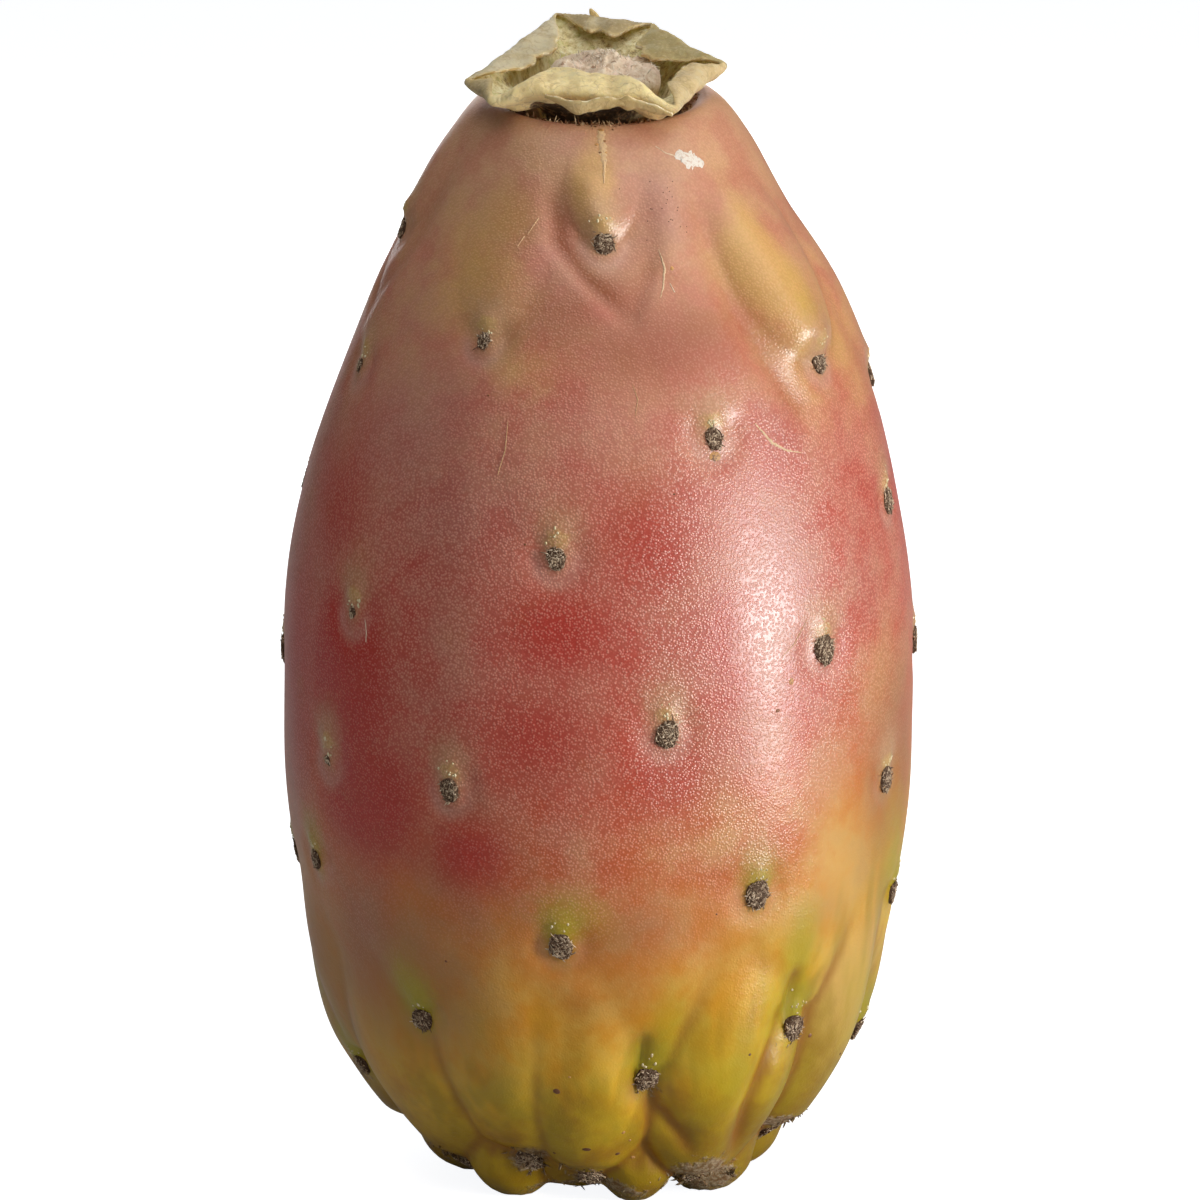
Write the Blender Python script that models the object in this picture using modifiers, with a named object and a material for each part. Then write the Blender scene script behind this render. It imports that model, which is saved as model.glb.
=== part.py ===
"""Prickly pear fruit, standing on its crown: the berry, its dried collar of pad skin and the pith inside it.

Metres, +Z up. The front of the fruit faces -Y, and a turn angle is counted from the front towards +X.
The origin is under the middle of the fruit, on the surface that it stands on.
"""
import math
import random

import bmesh
import bpy
import numpy as np
from mathutils import Matrix, Vector
from mathutils.bvhtree import BVHTree

# The berry's turned outline, (radius, height), from the hollow under the stem down the outer side to
# the middle of the flower scar. The lobes and areoles are raised from it.
OUTLINE = (
    (0.0, 0.0801), (0.0052, 0.0801), (0.0063, 0.0806), (0.0070, 0.0818), (0.0080, 0.0824),
    (0.0093, 0.0817), (0.0112, 0.0791), (0.0132, 0.0751), (0.0171, 0.0676), (0.0200, 0.0601),
    (0.0221, 0.0526), (0.0234, 0.0446), (0.0236, 0.0371), (0.0233, 0.0291), (0.0223, 0.0226),
    (0.0203, 0.0161), (0.0182, 0.0111), (0.0156, 0.0070), (0.0130, 0.0038), (0.0114, 0.0020),
    (0.0101, 0.0015), (0.0088, 0.0021), (0.0074, 0.0038), (0.0050, 0.0053), (0.0020, 0.0059), (0.0, 0.0058),
)
RIM = 20                      # the outline's point on the crown's rim
BODY_STEPS = 72
BODY_ROW = 0.0024             # spacing of the rows of points down the berry
CLOSE_ROWS = 0.50             # this part of it where the form is fine, at the crown and the stem end
WIDE_ROWS = 1.25              # and this many times it on the belly
STEM_TILT = math.radians(9)   # the stem end and its collar lean towards the front
TILT_FROM, TILT_TO = 0.057, 0.081     # heights between which the body bends over
LOBES_END, LOBES_GONE = 0.078, 0.090  # the lobes die out below the stem end, along the outline
SIDE_SWELL = 0.0005           # the upper part is a little fuller on the right
SIDE_SWELL_AT, SIDE_SWELL_REACH = 0.065, 0.010

# The areoles of the front as they sit on the real fruit, each at the lower end of its tubercle:
# (turn in degrees, height, how far the tubercle stands out, its half width).
FRONT_AREOLES = (
    (1, 0.0749, 0.0010, 0.0034), (-30, 0.0671, 0.0006, 0.0050), (-71, 0.0631, 0.0005, 0.0060),
    (56, 0.0643, 0.0016, 0.0054), (23, 0.0598, 0.0005, 0.0060), (92, 0.0611, 0.0008, 0.0060),
    (73, 0.0528, 0.0005, 0.0070), (-8, 0.0516, 0.0005, 0.0070), (-50, 0.0461, 0.0003, 0.0080),
    (44, 0.0438, 0.0004, 0.0080), (-92, 0.0401, 0.0003, 0.0080), (90, 0.0409, 0.0003, 0.0080),
    (12, 0.0389, 0.0003, 0.0080), (-57, 0.0346, 0.0003, 0.0080), (-27, 0.0343, 0.0003, 0.0080),
    (64, 0.0325, 0.0004, 0.0080), (-65, 0.0262, 0.0004, 0.0075), (30, 0.0262, 0.0004, 0.0080),
    (-7, 0.0229, 0.0005, 0.0075), (79, 0.0223, 0.0005, 0.0075), (-39, 0.0157, 0.0007, 0.0065),
    (44, 0.0149, 0.0008, 0.0060), (11, 0.0117, 0.0009, 0.0055), (-78, 0.0093, 0.0015, 0.0064),
    (84, 0.0115, 0.0008, 0.0060),
)
# The areoles on the crown's big lobes, right round, in the same way.
CROWN_AREOLES = (
    (-3, 0.0030, 0.0019, 0.0060), (32, 0.0028, 0.0030, 0.0068), (63, 0.0048, 0.0022, 0.0050),
    (90, 0.0036, 0.0019, 0.0054), (121, 0.0028, 0.0023, 0.0060), (150, 0.0038, 0.0018, 0.0056),
    (179, 0.0028, 0.0023, 0.0060), (207, 0.0038, 0.0019, 0.0058), (236, 0.0028, 0.0024, 0.0060),
    (270, 0.0036, 0.0024, 0.0064), (306, 0.0024, 0.0019, 0.0078), (338, 0.0042, 0.0014, 0.0072),
)
# The small lobes round the rim, tucked under the big ones, (turn, rise, half width); the fruit stands
# on them. Their areoles sit just inside the rim.
RIM_LOBES = (
    (14, 0.0022, 0.0035), (47, 0.0025, 0.0042), (76, 0.0018, 0.0036), (106, 0.0022, 0.0040),
    (137, 0.0018, 0.0038), (165, 0.0022, 0.0040), (194, 0.0017, 0.0038), (222, 0.0022, 0.0040),
    (250, 0.0016, 0.0038), (289, 0.0017, 0.0042), (325, 0.0023, 0.0040), (352, 0.0009, 0.0046),
)
RIM_ALONG = -0.0008           # where they start, along the outline from the rim

GOLDEN_TURN = math.radians(137.5)
BACK_TOP, BACK_BOTTOM = 0.0747, 0.0102
BACK_STEP = 0.00142           # fall from each areole of the spiral to the next
BACK_SECTOR = math.radians(84)    # nearer to the front than this, the areoles are the seen ones
BACK_CLEAR = 0.0090           # least distance between a back areole and one placed before it
BACK_JITTER = 0.0009
# A back tubercle's rise and half width on the belly, and what is added at the stem end and at the crown.
BACK_RISE = (0.0004, 0.0006, 0.0004)
BACK_WIDTH = (0.0080, -0.0040, -0.0018)

AREOLE_RADIUS = 0.00108
AREOLE_STAND = 0.0005         # how far an areole stands out of the skin
AREOLE_ROOT = 2.4             # and how far it reaches down under the skin, in times that
CROWN_AREOLE = 1.2            # the crown's are larger
PROBE = 0.008                 # the skin under an areole is looked for from this far outside it
AREOLE_SIDES, AREOLE_RINGS = 8, 5
SEED = 11
CREASE_ANGLE = math.radians(40)   # edges sharper than this are shaded sharp

# Length of a tubercle, and how far below its areole it starts, on the side, the crown and the rim.
SIDE_LOBE, CROWN_LOBE, RIM_LOBE = (0.0190, 0.0009), (0.0250, 0.0026), (0.0095, 0.0005)
LOBE_NOSE = 0.125             # a tubercle has its full height this part of its length above its areole
VALLEY = 0.00016              # rounding of the valleys between tubercles, where they are sharp
VALLEY_SIDE, VALLEY_RIM = 0.00047, 0.00090    # and how much rounder they are up the side and on the rim
STEM_FROM, STEM_TO = 0.072, 0.080     # along the outline: above this the tubercles are the stem end's,
STEM_SPAN = 0.0110                    # which are short, with a furrow round the toe
FURROW = 0.00036
FURROW_TOE = 0.0055           # it reaches this far below the areole,
FURROW_POINT = 0.45           # comes nearly to a point there,
FURROW_SLANT = 0.24           # runs this much to the right on the way down
FURROW_FADE = 0.4             # and is shallower on the right by this part
FURROW_WIDTH = 0.6
# Single ridges and creases of the front: (rise, half width, places as (turn in degrees, height) along it).
FOLDS = (
    (0.00035, 0.0013, ((-3, 0.0800), (-2.5, 0.0775), (0, 0.0757))),
    (0.00035, 0.0017, ((24, 0.0800), (21.5, 0.0772), (20, 0.0745), (18, 0.0720))),
    (-0.00055, 0.0014, ((36, 0.0790), (36, 0.0770), (35.5, 0.0735), (36.5, 0.0690), (41, 0.0645),
                        (46, 0.0612), (51, 0.0596))),
    (0.00050, 0.0022, ((43, 0.0790), (44, 0.0750), (47, 0.0705), (52, 0.0668), (56, 0.0650))),
    (-0.00060, 0.0014, ((9, 0.0170), (9, 0.0145), (8.5, 0.0118), (13, 0.0098), (19.7, 0.0080), (25, 0.0062))),
    (-0.00070, 0.0014, ((41.5, 0.0205), (40.5, 0.0172), (38.4, 0.0150), (35.6, 0.0124), (34, 0.0100),
                        (37, 0.0062), (42, 0.0035))),
    (-0.00035, 0.0018, ((-5, 0.0200), (-6, 0.0170), (-7.5, 0.0134), (-9.4, 0.0078))),
)

COLLAR_CENTRE = (-0.0003, 0.0, 0.0843)
COLLAR_WALL = 0.0006
COLLAR_STEPS = 72
COLLAR_ROWS = 15
NECK_RADIUS = 0.0053
NECK_FOOT = -0.0036           # underside of the neck, from the collar's centre
NECK_BEND = 0.0006            # between the neck's floor and its wall
NECK_FLARE = 0.0008           # how much wider the neck is where the cup spreads out from it,
NECK_HEIGHT = 0.0018          # this far above its floor
CUP_DEPTH = 0.0013            # the cup halfway out lies this far under its rim
# The collar's corners anticlockwise from the right: (direction in degrees, radius, lift above the
# collar's plane), then for the side that follows: (width of the flap rolled in, lift of its edge).
CORNERS = (
    (0, 0.0098, 0.0002, 0.0028, -0.0003), (65, 0.0103, 0.0007, 0.0026, -0.0005),
    (105, 0.0115, 0.0010, 0.0024, -0.0003), (200, 0.0102, 0.0000, 0.0003, 0.0002),
    (225, 0.0109, -0.0002, 0.0033, 0.0009), (300, 0.0120, -0.0002, 0.0009, 0.0004),
)
FLAP_EASE = 0.0026            # along the side from a corner, until the flap has its width
FLAP_LEAST = 0.0002           # the flap's width at a corner
ROLL = 0.00045                # radius of the fold between wall and flap
ROLL_CORNER = 0.4             # at a corner it is this part of that
SAG = 0.0004                  # how far a side's middle is drawn in

PITH_CENTRE = (0.0006, 0.0)
PITH_OUTLINE = (
    (0.0, 0.0034), (0.0020, 0.0033), (0.0035, 0.0028), (0.0042, 0.0019), (0.0039, 0.0008),
    (0.0034, 0.0001), (0.0026, 0.0), (0.0, 0.0),
)
PITH_STEPS = 28
PITH_ROW = 0.0007
PITH_WIDTH = 0.004            # radius at which its side lumps have their full height
PITH_LUMPS = ((0.00018, 3, 0.7, 0.0), (0.00012, 7, 0.0, 9.0))     # (height, number round it, phase, twist)
PITH_WAVES = ((1700, 0, 1.1), (0, 2100, 1.6), (1300, 1300, 0.0))  # of its top: (along x, along y, phase)
PITH_WAVE = 0.00022           # height of each of those
GAP = 0.0003                  # between pieces that touch


def ease(x, low, high):
    """0 below low, 1 above high, smooth between."""
    t = np.clip((x - low) / (high - low), 0.0, 1.0)
    return t * t * (3.0 - 2.0 * t)


def smooth_max(a, b, reach):
    """The larger of a and b, rounded where they are nearly equal."""
    near = np.maximum(reach - np.abs(a - b), 0.0)
    return np.maximum(a, b) + near * near / (4.0 * reach)


def curve_through(points, spacing):
    """Points at an even spacing on a smooth curve through the given ones."""
    p = np.array(points)
    chord = np.sqrt(np.linalg.norm(np.diff(p, axis=0), axis=1))
    knots = np.concatenate([[0.0], np.cumsum(chord)])
    slope = np.gradient(p, knots, axis=0)
    fine = []
    for i in range(len(p) - 1):
        span = knots[i + 1] - knots[i]
        t = np.linspace(0.0, 1.0, 24, endpoint=False)[:, None]
        fine.append(
            (2 * t**3 - 3 * t**2 + 1) * p[i] + (t**3 - 2 * t**2 + t) * span * slope[i]
            + (3 * t**2 - 2 * t**3) * p[i + 1] + (t**3 - t**2) * span * slope[i + 1]
        )
    fine = np.vstack(fine + [p[-1:]])
    along = np.concatenate([[0.0], np.cumsum(np.linalg.norm(np.diff(fine, axis=0), axis=1))])
    count = max(3, round(along[-1] / spacing) + 1)
    at = np.linspace(0.0, along[-1], count)
    return np.column_stack([np.interp(at, along, fine[:, k]) for k in range(2)])


def material(name, colour, roughness):
    """A plain Principled material."""
    mat = bpy.data.materials.new(name)
    mat.use_nodes = True
    shader = mat.node_tree.nodes["Principled BSDF"]
    shader.inputs["Base Color"].default_value = (*colour, 1.0)
    shader.inputs["Roughness"].default_value = roughness
    shader.inputs["Metallic"].default_value = 0.0
    return mat


def turned(name, rows, steps, collection):
    """A mesh turned about Z from rows of (radius, height) that run down its outer side."""
    mesh = bpy.data.meshes.new(name)
    verts = [(r, 0.0, z) for r, z in rows]
    mesh.from_pydata(verts, [(i, i + 1) for i in range(len(rows) - 1)], [])
    obj = bpy.data.objects.new(name, mesh)
    collection.objects.link(obj)
    screw = obj.modifiers.new("turn", "SCREW")
    screw.axis = "Z"
    screw.angle = math.tau
    screw.steps = screw.render_steps = steps
    screw.use_merge_vertices = True
    screw.merge_threshold = 0.00001
    apply_modifiers(obj)
    return obj


def apply_modifiers(obj):
    """Gives the object the mesh that its modifiers make, and takes the modifiers off."""
    graph = bpy.context.evaluated_depsgraph_get()
    made = bpy.data.meshes.new_from_object(obj.evaluated_get(graph))
    obj.modifiers.clear()
    obj.data = made


def rows_of(obj, rows):
    """Each point's direction round the axis and the number of the row that it is on."""
    co = np.empty(len(obj.data.vertices) * 3)
    obj.data.vertices.foreach_get("co", co)
    co = co.reshape(-1, 3)
    radius = np.hypot(co[:, 0], co[:, 1])
    away = (radius[:, None] - rows[None, :, 0]) ** 2 + (co[:, 2][:, None] - rows[None, :, 1]) ** 2
    return np.arctan2(co[:, 1], co[:, 0]), np.argmin(away, axis=1)


def move_points(obj, points):
    obj.data.vertices.foreach_set("co", np.asarray(points).ravel())
    obj.data.update()


class Outline:
    """The berry's outline, measured along from the crown's rim: up the side is positive."""

    def __init__(self, spacing):
        fine = curve_through(OUTLINE, 0.0001)
        run = np.concatenate([[0.0], np.cumsum(np.linalg.norm(np.diff(fine, axis=0), axis=1))])
        rim = np.argmin(np.linalg.norm(fine - np.array(OUTLINE[RIM]), axis=1))
        along = run[rim] - run
        wide = CLOSE_ROWS + (WIDE_ROWS - CLOSE_ROWS) * (
            ease(along, 0.010, 0.030) * (1.0 - ease(along, 0.078, 0.088)) + ease(-along, 0.003, 0.006)
        )
        count = np.cumsum(np.gradient(run) / (spacing * wide))
        pick = np.interp(np.linspace(count[0], count[-1], round(count[-1])), count, np.arange(len(run)))
        pick = np.unique(np.round(pick).astype(int))
        self.rows, self.along = fine[pick], along[pick]
        tangent = np.gradient(fine, axis=0)[pick]
        tangent /= np.linalg.norm(tangent, axis=1)[:, None]
        self.normal = np.column_stack([-tangent[:, 1], tangent[:, 0]])
        self.normal[0], self.normal[-1] = (0.0, 1.0), (0.0, -1.0)

    def at(self, along):
        """Radius, height and outward normal at a distance along."""
        pick = (self.along[::-1], self.rows[::-1], self.normal[::-1])
        r, z = (float(np.interp(along, pick[0], pick[1][:, k])) for k in range(2))
        n = Vector([float(np.interp(along, pick[0], pick[2][:, k])) for k in range(2)]).normalized()
        return r, z, n

    def along_at_height(self, z):
        """Distance along the outer side at a height."""
        side = self.along >= 0.0
        return float(np.interp(z, self.rows[side][::-1, 1], self.along[side][::-1]))


def lay_out_areoles(outline):
    """Every areole: turn, distance along the outline, its tubercle's height, half width, (length, toe)."""
    def listed(table, size):
        return [
            (math.radians(turn), outline.along_at_height(height), rise, half_width, size)
            for turn, height, rise, half_width in table
        ]

    draw = random.Random(SEED)
    placed = listed(FRONT_AREOLES, SIDE_LOBE) + listed(CROWN_AREOLES, CROWN_LOBE)
    for n in range(int((BACK_TOP - BACK_BOTTOM) / BACK_STEP)):
        turn = math.remainder(n * GOLDEN_TURN, math.tau)
        height = BACK_TOP - n * BACK_STEP + draw.uniform(-BACK_JITTER, BACK_JITTER)
        along = outline.along_at_height(height)
        radius = outline.at(along)[0]
        clear = all(
            math.hypot(radius * math.remainder(turn - other[0], math.tau), along - other[1]) > BACK_CLEAR
            for other in placed
        )
        if abs(turn) > BACK_SECTOR and clear:
            ends = np.array([1.0, ease(height, 0.058, 0.074), 1.0 - ease(height, 0.010, 0.026)])
            placed.append((turn, along, float(ends @ BACK_RISE), float(ends @ BACK_WIDTH), SIDE_LOBE))
    rim = [(math.radians(turn), RIM_ALONG, rise, width, RIM_LOBE) for turn, rise, width in RIM_LOBES]
    return placed + rim


def lobes(turn, along, radius, areoles):
    """How far the skin stands out of the turned outline, at each point."""
    rise = np.zeros_like(turn)
    furrow = np.zeros_like(turn)
    reach = VALLEY + VALLEY_SIDE * ease(along, 0.006, 0.030) + VALLEY_RIM * (1.0 - ease(along, 0.001, 0.007))
    for a_turn, a_along, height, half_width, (span, toe) in areoles:
        up = along - a_along
        side = radius * np.remainder(turn - a_turn + math.pi, math.tau) - radius * math.pi
        stem = float(ease(a_along, STEM_FROM, STEM_TO))
        length = span + stem * (STEM_SPAN - span)
        fullness = np.sin(0.5 * math.pi * np.clip(up / (0.45 * length) + 0.1, 0.0, 1.0))
        width = half_width * (0.40 + 0.60 * fullness) * (1.0 - 0.3 * ease(up, 0.5 * length, length))
        swell = ease(up, -toe, LOBE_NOSE * length) * (1.0 - ease(up, 0.35 * length, length))
        bump = height * swell * (1.0 - (side / width) ** 2)
        rise = smooth_max(rise, np.maximum(bump, -height), reach)
        if stem > 0.0:
            below = np.clip(up / FURROW_TOE, -1.5, 0.0)
            aside = side + FURROW_SLANT * FURROW_TOE * below
            inside = 1.0 - (aside / (half_width * (1.0 + FURROW_POINT * below))) ** 2 - below**2
            ring = np.exp(-(inside / FURROW_WIDTH) ** 2) * (1.0 - FURROW_FADE * ease(aside, -0.001, 0.004))
            furrow += stem * FURROW * ring * (1.0 - ease(up, 0.1 * length, 0.7 * length))
    rise = rise * (1.0 - ease(-along, 0.002, 0.006)) - furrow
    return rise * (1.0 - ease(along, LOBES_END, LOBES_GONE))


def folds(turn, along, radius, outline):
    """How far the listed ridges and creases lift the skin, at each point."""
    lift = np.zeros_like(turn)
    for rise, half_width, path in FOLDS:
        places = [(math.radians(degrees), outline.along_at_height(height)) for degrees, height in path]
        nearest, done = np.full_like(turn, 1.0), np.zeros_like(turn)
        for number, (start, end) in enumerate(zip(places, places[1:])):
            side = radius * (np.remainder(turn - start[0] + math.pi, math.tau) - math.pi)
            up = along - start[1]
            to_side, to_up = radius * (end[0] - start[0]), end[1] - start[1]
            part = np.clip((side * to_side + up * to_up) / (to_side**2 + to_up**2), 0.0, 1.0)
            away = np.hypot(side - part * to_side, up - part * to_up)
            done = np.where(away < nearest, (number + part) / (len(places) - 1), done)
            nearest = np.minimum(nearest, away)
        taper = ease(done, 0.0, 0.25) * (1.0 - ease(done, 0.75, 1.0))
        lift += rise * taper * np.exp(-(nearest / half_width) ** 2)
    return lift


def place_on_berry(radius, height, turn):
    """Points of the berry from radius, height and turn, with its lean and its fuller side."""
    x = radius * np.sin(turn) + SIDE_SWELL * np.exp(-((height - SIDE_SWELL_AT) / SIDE_SWELL_REACH) ** 2)
    y = -radius * np.cos(turn)
    z = height + math.tan(STEM_TILT) * y * ease(height, TILT_FROM, TILT_TO)
    return np.column_stack([x, y, z])


def make_berry(collection, mat):
    """The turned body with its lobes, its areoles joined on and its standing spots cut flat."""
    outline = Outline(BODY_ROW)
    areoles = lay_out_areoles(outline)
    berry = turned("fruit", outline.rows, BODY_STEPS, collection)
    around, row = rows_of(berry, outline.rows)
    turn = around + 0.5 * math.pi
    radius, height = outline.rows[row, 0], outline.rows[row, 1]
    rise = lobes(turn, outline.along[row], radius, areoles) + folds(turn, outline.along[row], radius, outline)
    normal = outline.normal[row]
    points = place_on_berry(radius + rise * normal[:, 0], height + rise * normal[:, 1], turn)
    move_points(berry, points)
    join_areoles(berry, outline, areoles)
    cut_flat(berry)
    berry.data.materials.clear()
    berry.data.materials.append(mat)
    berry.data.shade_smooth()
    berry.data.set_sharp_from_angle(angle=CREASE_ANGLE)
    return berry


def areole_mesh():
    """One low cushion, its foot sunk in the skin, with +Z pointing out of it."""
    mesh = bpy.data.meshes.new("areole")
    bm = bmesh.new()
    bmesh.ops.create_uvsphere(bm, u_segments=AREOLE_SIDES, v_segments=AREOLE_RINGS, radius=1.0)
    half = 0.5 * AREOLE_STAND * (1.0 + AREOLE_ROOT)
    bmesh.ops.scale(bm, vec=(AREOLE_RADIUS, AREOLE_RADIUS * 0.92, half), verts=bm.verts)
    bmesh.ops.translate(bm, vec=(0.0, 0.0, AREOLE_STAND - half), verts=bm.verts)
    bm.to_mesh(mesh)
    bm.free()
    return mesh


def join_areoles(berry, outline, areoles):
    """Sets a cushion at each areole and joins them all to the berry in one union."""
    draw = random.Random(SEED + 1)
    skin = BVHTree.FromPolygons(
        [v.co for v in berry.data.vertices], [tuple(p.vertices) for p in berry.data.polygons]
    )
    cushions = bpy.data.collections.new("areole cushions")
    bpy.context.scene.collection.children.link(cushions)
    mesh = areole_mesh()
    for turn, along, _, _, shape in areoles:
        r, z, n = outline.at(along)
        base = Vector(place_on_berry(np.array([r]), np.array([z]), np.array([turn]))[0])
        out = Vector((n[0] * math.sin(turn), -n[0] * math.cos(turn), n[1])).normalized()
        hit, face_normal, _, _ = skin.ray_cast(base + out * PROBE, -out)
        if hit is None:
            continue
        size = draw.uniform(0.88, 1.12) * (1.0 if shape == SIDE_LOBE else CROWN_AREOLE)
        up = face_normal.lerp(out, 0.5).normalized()
        facing = up.to_track_quat("Z", "Y").to_matrix().to_4x4()
        spin = Matrix.Rotation(draw.uniform(0.0, math.pi), 4, "Z")
        cushion = bpy.data.objects.new("areole", mesh)
        cushion.matrix_world = Matrix.Translation(hit) @ facing @ spin @ Matrix.Scale(size, 4)
        cushions.objects.link(cushion)
    union = berry.modifiers.new("areoles", "BOOLEAN")
    union.operation = "UNION"
    union.operand_type = "COLLECTION"
    union.collection = cushions
    union.solver = "EXACT"
    apply_modifiers(berry)
    for cushion in list(cushions.objects):
        bpy.data.objects.remove(cushion)
    bpy.data.collections.remove(cushions)


def cut_flat(berry):
    """Takes off what reaches below the floor, so the fruit stands on its crown's tips."""
    mesh = bpy.data.meshes.new("floor cut")
    bm = bmesh.new()
    bmesh.ops.create_cube(bm, size=1.0)
    bmesh.ops.scale(bm, vec=(0.08, 0.08, 0.02), verts=bm.verts)
    bmesh.ops.translate(bm, vec=(0.0, 0.0, -0.01), verts=bm.verts)
    bm.to_mesh(mesh)
    bm.free()
    cutter = bpy.data.objects.new("floor cut", mesh)
    cutter.display_type = "WIRE"
    cutter.hide_render = True
    cutters = bpy.data.collections.new("cutters")
    bpy.context.scene.collection.children.link(cutters)
    cutters.objects.link(cutter)
    cut = berry.modifiers.new("standing spots", "BOOLEAN")
    cut.operation = "DIFFERENCE"
    cut.object = cutter
    cut.solver = "EXACT"


def collar_section(direction):
    """The collar's section in one direction, (radius, height) from the floor's middle to the free edge."""
    turn = math.degrees(direction) % 360.0
    side = max(i for i, corner in enumerate(CORNERS) if corner[0] <= turn + 0.001)
    start, r1, lift1, flap, edge_lift = CORNERS[side]
    end, r2, lift2 = CORNERS[(side + 1) % len(CORNERS)][:3]
    p1 = r1 * np.array([math.cos(math.radians(start)), math.sin(math.radians(start))])
    p2 = r2 * np.array([math.cos(math.radians(end)), math.sin(math.radians(end))])
    ray = np.array([math.cos(direction), math.sin(direction)])
    edge = p2 - p1
    share = float((p1[0] * ray[1] - p1[1] * ray[0]) / (ray[0] * edge[1] - ray[1] * edge[0]))
    from_corner = float(np.linalg.norm(edge)) * min(share, 1.0 - share)
    full = float(ease(from_corner, 0.0, FLAP_EASE))
    radius = float(np.linalg.norm(p1 + share * edge)) - SAG * full
    lift = lift1 + share * (lift2 - lift1)
    fold = ROLL * (ROLL_CORNER + (1.0 - ROLL_CORNER) * full)
    floor = NECK_FOOT + 0.5 * COLLAR_WALL
    return [
        (0.0, floor), (NECK_RADIUS - NECK_BEND, floor), (NECK_RADIUS, floor + NECK_BEND),
        (NECK_RADIUS + NECK_FLARE, floor + NECK_HEIGHT), (0.5 * (NECK_RADIUS + radius), lift - CUP_DEPTH),
        (radius - 0.5 * fold, lift - 0.8 * fold), (radius, lift),
        (radius - 0.7 * fold, lift + 0.9 * fold),
        (radius - fold - 0.5 * flap * full, lift + 1.2 * fold + 0.6 * edge_lift * full),
        (radius - fold - FLAP_LEAST - flap * full, lift + fold + edge_lift * full),
    ]


def make_collar(collection, mat):
    """The dried cup: turned first, then drawn out to its corners with its sides rolled in."""
    directions = np.arange(COLLAR_STEPS) * math.tau / COLLAR_STEPS
    share = np.linspace(0.0, 1.0, COLLAR_ROWS)
    rows = np.column_stack([share, 1.0 - share]) * NECK_RADIUS
    collar = turned("stem_collar", rows, COLLAR_STEPS, collection)
    around, row = rows_of(collar, rows)
    step = np.round(around / (math.tau / COLLAR_STEPS)).astype(int) % COLLAR_STEPS
    sections = np.empty((COLLAR_STEPS, COLLAR_ROWS, 2))
    for i, direction in enumerate(directions):
        fine = curve_through(collar_section(direction), 0.0001)
        run = np.linspace(0.0, 1.0, len(fine))
        sections[i] = np.column_stack([np.interp(share, run, fine[:, k]) for k in range(2)])
    reach, height = sections[step, row, 0], sections[step, row, 1]
    points = np.column_stack([reach * np.cos(directions[step]), reach * np.sin(directions[step]), height])
    move_points(collar, points)
    collar.matrix_world = Matrix.Translation(COLLAR_CENTRE) @ Matrix.Rotation(STEM_TILT, 4, "X")
    wall = collar.modifiers.new("wall", "SOLIDIFY")
    wall.thickness = COLLAR_WALL
    wall.offset = 0.0
    collar.data.materials.append(mat)
    collar.data.shade_smooth()
    return collar


def make_pith(collection, mat):
    """The lumpy plug that stands on the collar's floor."""
    rows = curve_through(PITH_OUTLINE, PITH_ROW)
    pith = turned("stem_pith", rows, PITH_STEPS, collection)
    around, row = rows_of(pith, rows)
    radius, height = rows[row, 0], rows[row, 1]
    out = radius / PITH_WIDTH
    lumpy = radius + out * sum(
        lump * np.sin(number * around + phase + twist * out) for lump, number, phase, twist in PITH_LUMPS
    )
    x, y = lumpy * np.cos(around), lumpy * np.sin(around)
    waves = sum(np.sin(along_x * x + along_y * y + phase) for along_x, along_y, phase in PITH_WAVES)
    z = height + PITH_WAVE * waves * ease(height, 0.0008, 0.0024)
    move_points(pith, np.column_stack([x, y, z]))
    floor = NECK_FOOT + COLLAR_WALL + GAP
    seat = Matrix.Translation(COLLAR_CENTRE) @ Matrix.Rotation(STEM_TILT, 4, "X")
    pith.matrix_world = seat @ Matrix.Translation((*PITH_CENTRE, floor))
    pith.data.materials.append(mat)
    pith.data.shade_smooth()
    return pith


def main():
    for obj in list(bpy.data.objects):
        bpy.data.objects.remove(obj)
    collection = bpy.data.collections.new("prickly pear fruit")
    bpy.context.scene.collection.children.link(collection)
    make_berry(collection, material("fruit skin", (0.50, 0.22, 0.13), 0.5))
    make_collar(collection, material("dried pad skin", (0.42, 0.34, 0.18), 0.75))
    make_pith(collection, material("stem pith", (0.62, 0.52, 0.44), 0.9))


main()
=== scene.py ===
# %% [markdown]
# # A prickly pear fruit
# The plain solids of the fruit are loaded first and stay as they are. Each one is then stood for by a
# finer piece of the same form: the skin with its papillae and blush, the felted areoles, the dried
# collar of pad skin, and the pith. Everything is in metres, +Z up, and the fruit's front faces -Y.

# %% Loading the solids
import math
import random

import bpy
import numpy as np
from mathutils import Matrix, Vector
from mathutils.bvhtree import BVHTree


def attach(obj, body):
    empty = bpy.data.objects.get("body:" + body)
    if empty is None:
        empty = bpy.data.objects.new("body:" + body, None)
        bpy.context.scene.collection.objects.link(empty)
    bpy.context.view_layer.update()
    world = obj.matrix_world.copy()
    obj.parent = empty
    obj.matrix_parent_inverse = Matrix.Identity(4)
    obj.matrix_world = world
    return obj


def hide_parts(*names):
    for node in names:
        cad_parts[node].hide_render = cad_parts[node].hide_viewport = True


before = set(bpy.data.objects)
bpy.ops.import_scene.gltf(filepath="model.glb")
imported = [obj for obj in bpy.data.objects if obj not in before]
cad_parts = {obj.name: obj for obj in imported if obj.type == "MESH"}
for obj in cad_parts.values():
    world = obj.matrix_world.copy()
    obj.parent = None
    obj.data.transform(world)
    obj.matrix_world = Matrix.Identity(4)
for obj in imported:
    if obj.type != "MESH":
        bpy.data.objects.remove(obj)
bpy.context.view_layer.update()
print("solids:", sorted(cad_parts))

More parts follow.
